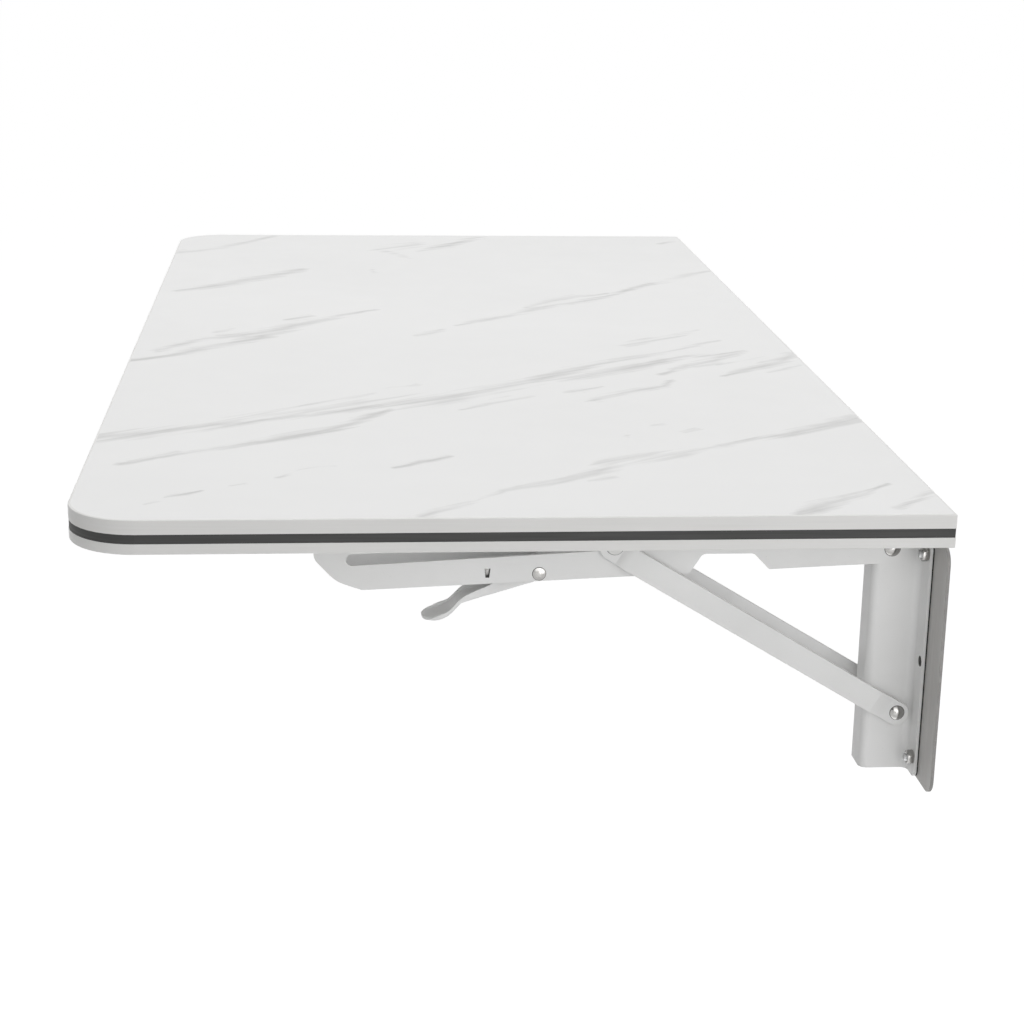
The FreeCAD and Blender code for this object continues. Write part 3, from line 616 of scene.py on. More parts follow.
class Finishes:
    """All finishes of the table, made once and shared by its pieces."""

    def __init__(self) -> None:
        """Make every material."""
        self.marble = MarblePrint().make()
        self.edge_white = SatinPlastic(
            "edge_white", (0.770, 0.765, 0.752), (0.735, 0.730, 0.716), roughness=0.34).make()
        self.edge_dark = SatinPlastic(
            "edge_dark", (0.034, 0.034, 0.033), (0.022, 0.022, 0.021), roughness=0.58).make()
        self.backing = SatinPlastic(
            "backing_white", (0.765, 0.765, 0.755), (0.725, 0.725, 0.712), roughness=0.55,
            lines=(60.0, 60.0, 60.0), skin=1100.0).make()
        self.nylon = SatinPlastic(
            "nylon", (0.730, 0.725, 0.690), (0.680, 0.672, 0.632), roughness=0.48,
            lines=(90.0, 90.0, 90.0), skin=900.0).make()
        self.board = Chipboard().make()
        self.paint = PowderCoat().make()
        self.rivet_paint = PowderCoat("rivet_coat", (0.770, 0.768, 0.755), (0.715, 0.712, 0.700)).make()
        # Painted shade: a darker steel on the wall plate's rim, standing for the dark shade along the plate's
        # edge.
        self.plate_rim = BareMetal(
            "sheared_rim", (0.285, 0.280, 0.272), (0.235, 0.230, 0.224), gloss=(0.50, 0.66),
            brush=(60.0, 400.0, 400.0), patch=40.0, metallic=0.25).make()
        self.plate = BareMetal(
            "brushed_plate", (0.485, 0.476, 0.464), (0.420, 0.412, 0.400), gloss=(0.48, 0.62),
            brush=(900.0, 900.0, 14.0), patch=14.0, metallic=0.25).make()
        self.nickel = BareMetal(
            "nickel", (0.470, 0.464, 0.452), (0.360, 0.354, 0.344), gloss=(0.15, 0.26),
            brush=(300.0, 300.0, 300.0), patch=120.0, depth=0.00002).make()
        self.zinc = BareMetal(
            "zinc", (0.600, 0.605, 0.610), (0.430, 0.432, 0.430), gloss=(0.26, 0.44),
            brush=(260.0, 260.0, 900.0), patch=200.0).make()
        self.wire = BareMetal(
            "spring_wire", (0.360, 0.356, 0.348), (0.230, 0.227, 0.221), gloss=(0.26, 0.42),
            brush=(120.0, 120.0, 1200.0), patch=160.0).make()
        # Painted shade: near-black steel laid on the walls of the wall bar's free holes, on the walls of the
        # arm's slit and on a ring round each rivet head's seat, where shade falls.
        self.joint = BareMetal(
            "joint_steel", (0.130, 0.127, 0.122), (0.070, 0.068, 0.065), gloss=(0.55, 0.75),
            brush=(300.0, 300.0, 300.0), patch=220.0, metallic=0.2).make()
        # Painted shade: the near-black pads stand for the shadow in the gap between the wall bar's flanges
        # and the plate.
        self.foam = FoamPad().make()


class Bench:
    """Modelling steps that the hand-made pieces share, with the limits that they work to."""

    merge_gap = 0.002 * MM
    flat_angle = math.radians(0.4)
    sharp_degrees = 40.0

    @staticmethod
    def clear() -> None:
        """Leave edit mode and deselect everything."""
        if bpy.context.object and bpy.context.object.mode != "OBJECT":
            bpy.ops.object.mode_set(mode="OBJECT")
        bpy.ops.object.select_all(action="DESELECT")

    @staticmethod
    def take(piece: Piece) -> None:
        """Make one piece the only selected and active one.

        Args:
            piece: Piece to take.
        """
        Bench.clear()
        piece.select_set(True)
        bpy.context.view_layer.objects.active = piece

    @staticmethod
    def edit(mode: str = "FACE", everything: bool = True) -> None:
        """Enter edit mode on the piece that is taken.

        Args:
            mode: What is selected: Blender's select mode.
            everything: Start with all selected, not none.
        """
        bpy.ops.object.mode_set(mode="EDIT")
        bpy.ops.mesh.select_mode(type=mode)
        bpy.ops.mesh.select_all(action="SELECT" if everything else "DESELECT")

    @staticmethod
    def pick_faces(piece: Piece, test: FaceTest) -> None:
        """Enter edit mode with the faces selected that pass a test.

        Args:
            piece: Piece that is taken already.
            test: Test of a face.
        """
        Bench.edit(everything=False)
        bpy.ops.object.mode_set(mode="OBJECT")
        for face in piece.data.polygons:
            face.select = test(face)
        bpy.ops.object.mode_set(mode="EDIT")

    @staticmethod
    def modify(piece: Piece, kind: str, **settings: object) -> None:
        """Add a modifier to a piece and apply it.

        Args:
            piece: Piece to modify.
            kind: Blender's modifier type.
            **settings: Properties of the modifier.
        """
        Bench.take(piece)
        modifier = piece.modifiers.new(kind.lower(), kind)
        for key, value in settings.items():
            setattr(modifier, key, value)
        bpy.ops.object.modifier_apply(modifier=modifier.name)

    @staticmethod
    def cut(piece: Piece, tool: Piece, operation: str = "DIFFERENCE") -> None:
        """Cut a piece with a tool, or keep what they share, and put the tool away."""
        Bench.modify(piece, "BOOLEAN", operation=operation, object=tool, solver="EXACT")
        bpy.data.objects.remove(tool)

    @staticmethod
    def bevel(piece: Piece, width: float, degrees: float, **settings: object) -> None:
        """Bevel the edges of a piece.

        Args:
            piece: Piece to bevel.
            width: Width of the bevel in millimetres.
            degrees: Least angle of an edge that is bevelled.
            **settings: Further properties of the modifier.
        """
        Bench.modify(piece, "BEVEL", width=width * MM, segments=2, limit_method="ANGLE",
                     angle_limit=math.radians(degrees), **settings)

    @staticmethod
    def smooth(piece: Piece, degrees: float) -> None:
        """Shade a piece smooth but for its sharp edges."""
        Bench.take(piece)
        bpy.ops.object.shade_smooth_by_angle(angle=math.radians(degrees))

    @staticmethod
    def settle(piece: Piece, pose: Matrix) -> None:
        """Put a piece in its place and write that place into its mesh.

        Args:
            piece: Piece to place.
            pose: Its place and turn.
        """
        Bench.take(piece)
        piece.matrix_world = pose
        bpy.ops.object.transform_apply(location=True, rotation=True, scale=True)

    @staticmethod
    def stand(name: str, data: bpy.types.ID) -> Piece:
        """Stand a curve, lamp or camera in the scene.

        Args:
            name: Name of the object.
            data: What it holds.

        Returns:
            The object.
        """
        piece = bpy.data.objects.new(name, data)
        bpy.context.scene.collection.objects.link(piece)
        return piece

    @staticmethod
    def join(pieces: Sequence[Piece], name: str) -> Piece:
        """Join pieces into one.

        Args:
            pieces: Pieces to join, or a single one.
            name: Name of the result.

        Returns:
            The joined piece.
        """
        Bench.take(pieces[0])
        for piece in pieces[1:]:
            piece.select_set(True)
        if len(pieces) > 1:
            bpy.ops.object.join()
        pieces[0].name = name
        pieces[0].data.name = name
        return pieces[0]

    @staticmethod
    def copy(piece: Piece) -> Piece:
        """Copy a piece with a mesh of its own.

        Args:
            piece: Piece to copy.

        Returns:
            The copy.
        """
        twin = piece.copy()
        twin.data = piece.data.copy()
        bpy.context.scene.collection.objects.link(twin)
        return twin

    @staticmethod
    def repeat(model: Piece, poses: Sequence[Matrix], name: str) -> Piece:
        """Set a copy of a model at each pose, join the copies and put the model away.

        Args:
            model: Piece to repeat.
            poses: Place and turn of each copy.
            name: Name of the joined copies.

        Returns:
            The joined copies.
        """
        copies = []
        for pose in poses:
            copies.append(Bench.copy(model))
            Bench.settle(copies[-1], pose)
        bpy.data.objects.remove(model)
        return Bench.join(copies, name)

    @staticmethod
    def turned(name: str, rings: Sequence[Point], sides: int = 40) -> Piece:
        """Turn a piece about Z by extruding a disc ring by ring.

        Args:
            name: Name of the piece.
            rings: Radius and height of each ring in millimetres.
            sides: Number of sides.

        Returns:
            The closed piece.
        """
        Bench.clear()
        radius, height = rings[0]
        bpy.ops.mesh.primitive_circle_add(vertices=sides, radius=radius * MM, fill_type="NGON")
        piece = bpy.context.object
        Bench.settle(piece, Matrix.Translation((0.0, 0.0, height * MM)))
        Bench.edit()
        for next_radius, next_height in rings[1:]:
            rise = (0.0, 0.0, (next_height - height) * MM)
            bpy.ops.mesh.extrude_region_move(TRANSFORM_OT_translate={"value": rise})
            grow = next_radius / radius
            bpy.ops.transform.resize(value=(grow, grow, 1.0), center_override=(0.0, 0.0, next_height * MM))
            radius, height = next_radius, next_height
        bpy.ops.mesh.select_all(action="SELECT")
        bpy.ops.mesh.normals_make_consistent(inside=False)
        Bench.clear()
        piece.name = name
        return piece

    @staticmethod
    def block(sizes: Triple, pose: Matrix) -> Piece:
        """Make a block.

        Args:
            sizes: Its sizes along X, Y and Z in millimetres.
            pose: Its place and turn.

        Returns:
            The block.
        """
        Bench.clear()
        bpy.ops.mesh.primitive_cube_add(size=MM)
        piece = bpy.context.object
        Bench.settle(piece, pose @ Matrix.Diagonal((*sizes, 1.0)))
        return piece

    @staticmethod
    def eased(source: Piece, name: str, width: float) -> Piece:
        """Copy a sheet-metal solid and ease its sharp edges.

        Args:
            source: Solid to copy.
            name: Name of the new piece.
            width: Width of the eased edge in millimetres.

        Returns:
            The new piece.
        """
        piece = Bench.copy(source)
        piece.parent = None
        piece.name = name
        piece.data.name = name
        for key in list(piece.keys()):
            del piece[key]
        Bench.take(piece)
        Bench.edit("VERT")
        bpy.ops.mesh.remove_doubles(threshold=Bench.merge_gap)
        bpy.ops.mesh.dissolve_limited(angle_limit=Bench.flat_angle)
        Bench.clear()
        Bench.bevel(piece, width, Bench.sharp_degrees, use_clamp_overlap=True, miter_outer="MITER_ARC")
        Bench.smooth(piece, Bench.sharp_degrees)
        Bench.modify(piece, "WEIGHTED_NORMAL", keep_sharp=True)
        return piece


def dress(piece: Piece, material: Material) -> None:
    """Give a piece one material in place of all that it had."""
    piece.data.materials.clear()
    piece.data.materials.append(material)


def dress_solids(frame: dict, looks: dict[str, Material]) -> None:
    """Dress solids of the model that keep their shape.

    Args:
        frame: The loaded model.
        looks: Finish of each solid, by its node's name.
    """
    for node, material in looks.items():
        dress(frame["nodes"][node], material)
        LOG.info("%s dressed", node)


def shade_faces(piece: Piece, material: Material, test: FaceTest) -> None:
    """Give a second material to the faces of a dressed piece that pass a test.

    Args:
        piece: Dressed piece.
        material: Second finish.
        test: Test of a face.
    """
    piece.data.materials.append(material)
    for face in piece.data.polygons:
        if test(face):
            face.material_index = len(piece.data.materials) - 1


def hand_over(piece: Piece, body: str, slot: str, material: Material, *nodes: str) -> None:
    """Dress a finished piece, let it ride on a body and stand for its solids.

    Args:
        piece: Finished piece.
        body: Body that it moves with.
        slot: Material slot of the record; not used.
        material: Finish.
        *nodes: Solids that it stands for.
    """
    dress(piece, material)
    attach(piece, body)
    if nodes:
        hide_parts(*nodes)
    LOG.info("%s rides on %s", piece.name, body)


@dataclass
class Tabletop:
    """The board: core, two sheets and the three-part edge."""

    frame: dict
    finishes: Finishes

    def build(self) -> None:
        """Dress the board's solids."""
        dress_solids(self.frame, {
            "tabletop_core": self.finishes.board,
            "marble_laminate": self.finishes.marble,
            "backing_laminate": self.finishes.backing,
            "edge_band_upper": self.finishes.edge_white,
            "edge_band_stripe": self.finishes.edge_dark,
            "edge_band_lower": self.finishes.edge_white,
        })


@dataclass(frozen=True)
class Rivet:
    """Turned pin with shallow domes, in millimetres: radii, a dome's height and its seat from the middle."""

    shank: float
    head: float
    height: float
    seat: float
    foot: float | None = None
    rim: float = 0.35
    facets: int = 8
    # Width of the thin skirt ring round each head's seat, which carries the painted shade of the crevice
    # under the head.
    joint: float = 0.35
    joint_step: float = 0.03

    def rings(self) -> list[Point]:
        """Lay out the pin from dome to dome, or from a plain foot to the dome.

        Returns:
            Radius and height of each ring.
        """
        crown = self.height - self.rim
        ball = (self.head ** 2 + crown ** 2) / (2.0 * crown)
        widest = math.asin(self.head / ball)
        sink = self.seat + self.height - ball
        angles = [widest * step / self.facets for step in range(self.facets, 0, -1)]
        # The skirt ring past the head is later dressed with painted shade.
        skirt = self.head + self.joint
        dome = [(self.shank, self.seat), (skirt, self.seat), (skirt, self.seat + self.joint_step),
                (self.head, self.seat + 2.0 * self.joint_step)]
        dome += [(ball * math.sin(angle), sink + ball * math.cos(angle)) for angle in angles]
        if self.foot is None:
            return [(radius, -height) for radius, height in reversed(dome)] + dome
        return [(self.shank, self.foot)] + dome


@dataclass(frozen=True)
class LeverStation:
    """One place along the lever, in millimetres: out from the wall, drop of rim and underside, half width.

    The last value is the share by which the rim is laid flat, as it is at the tip of the spoon.
    """

    out: float
    rim: float
    foot: float
    half: float
    flat: float = 0.0


LEVER_STATIONS: tuple[LeverStation, ...] = tuple(
    LeverStation(*values)
    for values in (
        (191.6, 15.8, 20.2, 7.0), (195.5, 15.8, 21.6, 7.0), (199.4, 15.8, 23.1, 7.0),
        (200.8, 16.8, 23.6, 7.0), (203.2, 19.3, 24.5, 7.0), (210.0, 19.8, 27.4, 7.0),
        (218.0, 20.4, 30.8, 7.0), (226.0, 21.0, 34.1, 7.0), (232.0, 21.6, 36.2, 7.0),
        (237.5, 24.4, 38.0, 7.0), (246.0, 29.2, 40.6, 7.0), (252.0, 32.6, 42.4, 7.0),
        (257.0, 35.6, 43.8, 7.1), (262.0, 38.5, 45.0, 8.1), (266.7, 39.9, 45.8, 9.3),
        (271.4, 41.7, 47.1, 10.1), (273.9, 42.8, 47.7, 10.4), (276.2, 44.0, 48.3, 10.5),
        (278.2, 45.7, 49.1, 10.4), (280.0, 47.5, 50.8, 10.4), (282.0, 49.6, 53.1, 10.6),
        (284.0, 51.7, 55.2, 11.0), (286.0, 53.2, 56.5, 11.6), (288.0, 54.1, 57.6, 12.0),
        (290.2, 54.8, 58.5, 12.1), (292.4, 55.4, 59.1, 12.0, 0.1), (294.6, 56.1, 59.4, 11.5, 0.25),
        (296.6, 56.6, 59.4, 10.3, 0.5), (298.4, 57.1, 59.4, 8.1, 0.8), (299.8, 57.5, 59.4, 5.3, 1.0),
        (300.7, 57.9, 59.7, 2.4, 1.0),
    )
)
LEVER_BENT: tuple[Point, ...] = ((0.0, 0.0), (0.45, 0.0), (0.85, 0.0), (1.0, 0.12), (1.0, 0.55), (1.0, 1.0))
LEVER_FLAT: tuple[float, ...] = (0.0, 0.25, 0.48, 0.68, 0.86, 1.0)


@dataclass
class BracketPart:
    """What the sub-assemblies of one folding bracket share. Sizes in millimetres, angles in degrees."""

    frame: dict
    finishes: Finishes
    side: Side
    board_underside: float = 83.0
    arm_leg: float = 30.3
    slit_drop: float = 28.5

    def box(self, base: str) -> tuple[Vector, Vector]:
        """Lowest and highest corner of one of this side's solids, in metres."""
        low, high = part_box(self.side.node(base))
        return Vector(low), Vector(high)

    def middle(self, base: str) -> Vector:
        """Middle of one of this side's solids, in metres."""
        low, high = self.box(base)
        return (low + high) / 2.0

    def point(self, out: float, drop: float, along: float = 0.0) -> Vector:
        """Place in metres, from distances out from the wall, below the board and outwards along it."""
        middle = self.middle("lever_pin").x
        return Vector((middle + self.side.value * along * MM, -out * MM, (self.board_underside - drop) * MM))

    @property
    def slit_out(self) -> float:
        """Distance of the arm's slit from the wall."""
        return self.arm_leg - self.middle("lever_pin").y / MM

    def lying_at(self, base: str, turn: float = QUARTER_TURN) -> Matrix:
        """Pose of a turned piece that lies along the board at the middle of a solid."""
        return Matrix.Translation(self.middle(base)) @ Matrix.Rotation(turn, 4, "Y")


@dataclass
class PressedSheet(BracketPart):
    """Wall plate, wall bar, arm and brace bars, pressed from sheet steel.

    A facing is the most that an edge face's normal has across the sheet.
    """

    sheet_ease: float = 0.45
    rim_facing: float = 0.9
    hole_aside: float = 24.3
    hole_reach: float = 3.5
    hole_facing: float = 0.3
    slit_reach: float = 4.2
    slit_facing: float = 0.9

    def build(self) -> None:
        """Copy the pressed pieces with eased edges, and paint shade on the plate's rim and on the walls of
        the wall bar's free holes and the arm's slit.
        """
        brace = self.side.node("brace")
        paint, joint = self.finishes.paint, self.finishes.joint
        # Painted shade: darker steel on the plate's rim, and near-black steel in the free holes and the slit,
        # standing for the shade there.
        edges = {
            "wall_plate": (self.finishes.plate_rim, self.rim_test()),
            "wall_bar": (joint, self.free_hole_test()),
            "arm": (joint, self.slit_test()),
        }
        for base, body, slot, material in (
            ("wall_plate", "wall_frame", "plate_steel", self.finishes.plate),
            ("wall_bar", "wall_frame", "white_paint", paint),
            ("arm", "leaf", "white_paint", paint),
            ("brace_bar_outer", brace, "white_paint", paint),
            ("brace_bar_inner", brace, "white_paint", paint),
        ):
            node = self.side.node(base)
            name = f"{base}_pressed_{self.side.label}"
            piece = Bench.eased(self.frame["nodes"][node], name, self.sheet_ease)
            hand_over(piece, body, slot, material, node)
            if base in edges:
                shade_faces(piece, *edges[base])

    def rim_test(self) -> FaceTest:
        """Make the test for faces on the wall plate's sheared rim."""
        return lambda face: abs(face.normal.y) < self.rim_facing

    def free_hole_test(self) -> FaceTest:
        """Make the test for faces in the free holes of the wall bar.

        Returns:
            The test of a face.
        """
        middle, aside = self.middle("wall_bar").x, self.hole_aside * MM

        def in_hole(face: Face) -> bool:
            """Tell whether a face is the wall of a free hole."""
            away = math.hypot(abs(face.center.x - middle) - aside, face.center.z)
            return abs(face.normal.y) < self.hole_facing and away < self.hole_reach * MM

        return in_hole

    def slit_test(self) -> FaceTest:
        """Make the test for faces in the arm's slit that the spring is hooked in.

        Returns:
            The test of a face.
        """
        middle = self.point(self.slit_out, self.slit_drop)

        def in_slit(face: Face) -> bool:
            """Tell whether a face is the wall of the slit."""
            away = math.hypot(face.center.y - middle.y, face.center.z - middle.z)
            return abs(face.normal.x) < self.slit_facing and away < self.slit_reach * MM

        return in_slit


@dataclass
class ReleaseLever(BracketPart):
    """Lever with an open channel that runs out into a spoon."""

    sheet: float = 1.8
    floor_start: float = 240.0
    ease: float = 0.25
    sharp: float = 55.0
    smooth: float = 38.0
    bore: float = 2.25
    drill_reach: float = 12.0

    def build(self) -> None:
        """Press a grid into the lever's channel and spoon, then give the sheet its thickness."""
        across, rows = 2 * (len(LEVER_BENT) - 1), len(LEVER_STATIONS) - 1
        Bench.clear()
        bpy.ops.mesh.primitive_grid_add(x_subdivisions=across, y_subdivisions=rows, size=1.0)
        piece = bpy.context.object
        for point in piece.data.vertices:
            row, column = round((point.co.y + 0.5) * rows), round(point.co.x * across)
            point.co = self.spot(LEVER_STATIONS[row], column)
        middle = self.point(0.0, 0.0).x
        bare = -self.floor_start * MM
        web = (LEVER_STATIONS[0].half - self.sheet) * MM
        Bench.take(piece)
        Bench.pick_faces(piece, lambda face: face.center.y > bare and abs(face.center.x - middle) < web)
        bpy.ops.mesh.delete(type="FACE")
        Bench.edit()
        bpy.ops.mesh.normals_make_consistent(inside=False)
        Bench.clear()
        Bench.modify(piece, "SUBSURF", levels=2, render_levels=2)
        Bench.modify(piece, "SOLIDIFY", thickness=self.sheet * MM, offset=0.0, use_even_offset=True)
        Bench.bevel(piece, self.ease, self.sharp)
        ends = (-self.drill_reach, self.drill_reach)
        drill = Bench.turned("drill", [(self.bore, end) for end in ends], sides=32)
        Bench.settle(drill, self.lying_at("lever_pin"))
        Bench.cut(piece, drill)
        Bench.smooth(piece, self.smooth)
        piece.name = self.side.node("spoon_lever")
        lever, node = self.side.node("lever"), self.side.node("release_lever")
        hand_over(piece, lever, "white_paint", self.finishes.paint, node)

    def spot(self, station: LeverStation, column: int) -> Vector:
        """Place of one point across the lever, from one rim over 0 on the floor to the other rim.

        Args:
            station: Place along the lever.
            column: Point across it.

        Returns:
            The place in metres, midway in the sheet.
        """
        step, flat, skin = abs(column), station.flat, self.sheet / 2.0
        bent_share, rise_share = LEVER_BENT[step]
        bent = bent_share * (station.half - skin)
        along = bent + flat * (LEVER_FLAT[step] * station.half - bent)
        floor = station.foot - skin
        rise = (1.0 - flat) * rise_share * (floor - station.rim)
        return self.point(station.out, floor - rise, math.copysign(along, column))


@dataclass
class PinsAndRivets(BracketPart):
    """Domed rivets of hinge, brace and lever, and the pin in the arm's slot."""

    joint_facing: float = 0.5
    pin_smooth: float = 40.0
    slot_pin: tuple[Point, ...] = ((2.7, 15.4), (3.2, 14.9))

    def build(self) -> None:
        """Turn the pins and rivets, lay each one along the board and paint shade round their heads where they
        meet the sheet.
        """
        brace, nickel = self.side.node("brace"), self.finishes.nickel
        for base, name, body, slot, material, rivet in (
            ("hinge_pin", "hinge_rivet", "leaf", "nickel", nickel, Rivet(3.0, 4.6, 2.2, 14.3)),
            ("foot_pin", "foot_rivet", brace, "nickel", nickel, Rivet(3.0, 4.3, 2.0, 17.6)),
            ("lever_pin", "lever_rivet", "leaf", "nickel", nickel, Rivet(2.2, 3.8, 1.0, 14.3, rim=0.25)),
            ("head_rivets", "ear_rivets", brace, "white_rivet", self.finishes.rivet_paint,
             Rivet(3.0, 5.2, 1.8, 17.6, foot=15.6)),
        ):
            turns = (QUARTER_TURN,) if rivet.foot is None else (QUARTER_TURN, -QUARTER_TURN)
            pin = Bench.turned("pin", rivet.rings())
            piece = Bench.repeat(pin, [self.lying_at(base, turn) for turn in turns], self.side.node(name))
            Bench.smooth(piece, self.pin_smooth)
            hand_over(piece, body, slot, material, self.side.node(base))
            self.draw_joint(piece, self.middle(base), rivet)
        ends = [(radius, -height) for radius, height in self.slot_pin] + list(reversed(self.slot_pin))
        pin = Bench.turned("pin", ends)
        piece = Bench.repeat(pin, [self.lying_at("slide_pin")], self.side.node("slot_pin"))
        Bench.smooth(piece, self.pin_smooth)
        slide_pin = self.side.node("slide_pin")
        hand_over(piece, slide_pin, "zinc", self.finishes.zinc, slide_pin)

    def draw_joint(self, piece: Piece, centre: Vector, rivet: Rivet) -> None:
        """Paint shade on the thin ring where a rivet's heads meet the sheet, standing for the shadow in that
        crevice.

        Args:
            piece: Dressed rivet.
            centre: Its middle, in metres.
            rivet: Its sizes.
        """
        def in_joint(face: Face) -> bool:
            """Tell whether a face lies flat outside the head."""
            away = face.center - centre
            return math.hypot(away.y, away.z) > rivet.head * MM and abs(face.normal.x) > self.joint_facing

        shade_faces(piece, self.finishes.joint, in_joint)


@dataclass
class WallFixings(BracketPart):
    """Threaded studs of the wall plate and their hexagon nuts."""

    stud_radius: float = 2.5
    stud_plain: float = 5.0
    stud_pitch: float = 0.8
    stud_thread: float = 0.38
    stud_chamfer: float = 0.6
    stud_run_out: float = 0.5
    stud_smooth: float = 25.0
    nut_flats: float = 8.0
    nut_chamfer: float = 0.6
    nut_chamfer_inset: float = 0.1
    nut_slack: float = 0.05
    bore_slack: float = 0.02
    bore_flare: float = 0.5
    bore_flare_depth: float = 0.45
    bore_overrun: float = 0.1
    nut_ease: float = 0.12
    nut_sharp: float = 35.0
    nut_smooth: float = 30.0

    def build(self) -> None:
        """Set the plate's threaded studs and their hexagon nuts."""
        low, high = self.box("wall_studs")
        nut_low, nut_high = self.box("wall_nuts")
        stud = self.turn_stud((high.y - low.y) / MM)
        nut = self.cut_nut(-nut_high.y / MM, -nut_low.y / MM)
        into_room = Matrix.Rotation(QUARTER_TURN, 4, "X")
        inset = self.stud_radius * MM
        poses = [
            Matrix.Translation((x, 0.0, z)) @ into_room
            for x in (low.x + inset, high.x - inset)
            for z in (low.z + inset, high.z - inset)
        ]
        for model, name, slot, material, base in (
            (stud, "threaded_studs", "zinc", self.finishes.zinc, "wall_studs"),
            (nut, "hexagon_nuts", "nickel", self.finishes.nickel, "wall_nuts"),
        ):
            piece = Bench.repeat(model, poses, self.side.node(name))
            hand_over(piece, "wall_frame", slot, material, self.side.node(base))

    def turn_stud(self, length: float) -> Piece:
        """Turn one threaded stud.

        Args:
            length: Its length in millimetres.

        Returns:
            The stud, upright.
        """
        radius, pitch = self.stud_radius, self.stud_pitch
        rings = [(radius, 0.0), (radius, self.stud_plain)]
        while rings[-1][1] + pitch < length - self.stud_run_out:
            crest = rings[-1][1]
            rings += [(radius - self.stud_thread, crest + pitch / 2.0), (radius, crest + pitch)]
        rings.append((radius - self.stud_chamfer, length))
        stud = Bench.turned("stud", rings, sides=32)
        Bench.smooth(stud, self.stud_smooth)
        return stud

    def cut_nut(self, back: float, front: float) -> Piece:
        """Cut one hexagon nut with chamfered corners and a flared bore.

        Args:
            back: Height of its back in millimetres.
            front: Height of its front.

        Returns:
            The nut, upright.
        """
        flats, corner = self.nut_flats / 2.0, self.nut_flats / math.sqrt(3.0)
        Bench.clear()
        bpy.ops.mesh.primitive_cylinder_add(vertices=6, radius=corner * MM, depth=(front - back) * MM)
        nut = bpy.context.object
        Bench.settle(nut, Matrix.Translation((0.0, 0.0, (back + front) / 2.0 * MM)))
        narrow, wide, chamfer = flats - self.nut_chamfer_inset, corner + self.nut_slack, self.nut_chamfer
        outside = [(narrow, back), (wide, back + chamfer), (wide, front - chamfer), (narrow, front)]
        Bench.cut(nut, Bench.turned("blank", outside, sides=64), "INTERSECT")
        narrow, wide = self.stud_radius + self.bore_slack, self.stud_radius + self.bore_flare
        depth, overrun = self.bore_flare_depth, self.bore_overrun
        inside = [(wide, back - overrun), (narrow, back + depth)]
        inside += [(narrow, front - depth), (wide, front + overrun)]
        Bench.cut(nut, Bench.turned("bore", inside, sides=32))
        Bench.bevel(nut, self.nut_ease, self.nut_sharp)
        Bench.smooth(nut, self.nut_smooth)
        return nut


@dataclass
class ArmScrews(BracketPart):
    """Wood screws that hold the arm to the board, at shares of the arm's length.

    Head and tip are radius and height of their rings, the shank is its radius, start and end. The spin is how
    far the recesses turn from one end of the arm to the other, in radians.
    """

    shares: tuple[float, ...] = (0.14, 0.36, 0.63, 0.93)
    head: tuple[Point, ...] = ((1.2, 0.0), (2.6, 0.12), (3.5, 0.5), (3.9, 1.1), (4.0, 1.6), (4.0, 2.0))
    shank: Triple = (2.0, 2.0, 6.0)
    root: float = 1.5
    pitch: float = 1.0
    threads: int = 5
    tip: tuple[Point, ...] = ((1.4, 11.6), (1.8, 12.2), (1.1, 12.8), (1.4, 13.5), (0.2, 17.0))
    recess: Triple = (4.6, 0.9, 2.6)
    spin: float = 7.0
    smooth: float = 30.0

    def build(self) -> None:
        """Turn a pan-head wood screw, cut its cross recess and set one in each hole of the arm."""
        radius, seat, start = self.shank
        rings = [*self.head, (radius, seat), (radius, start)]
        for thread in range(self.threads):
            crest = start + thread * self.pitch
            rings += [(self.root, crest + self.pitch / 2.0), (radius, crest + self.pitch)]
        screw = Bench.turned("screw", [*rings, *self.tip], sides=36)
        for turn in (0.0, QUARTER_TURN):
            Bench.cut(screw, Bench.block(self.recess, Matrix.Rotation(turn, 4, "Z")))
        Bench.smooth(screw, self.smooth)
        height = self.box("arm_screws")[0].z
        nose, tail = (corner.y for corner in self.box("arm"))
        poses = []
        for share in self.shares:
            spot = Vector((self.middle("lever_pin").x, tail + share * (nose - tail), height))
            poses.append(Matrix.Translation(spot) @ Matrix.Rotation(self.spin * share, 4, "Z"))
        piece = Bench.repeat(screw, poses, self.side.node("wood_screws"))
        hand_over(piece, "leaf", "zinc", self.finishes.zinc, self.side.node("arm_screws"))


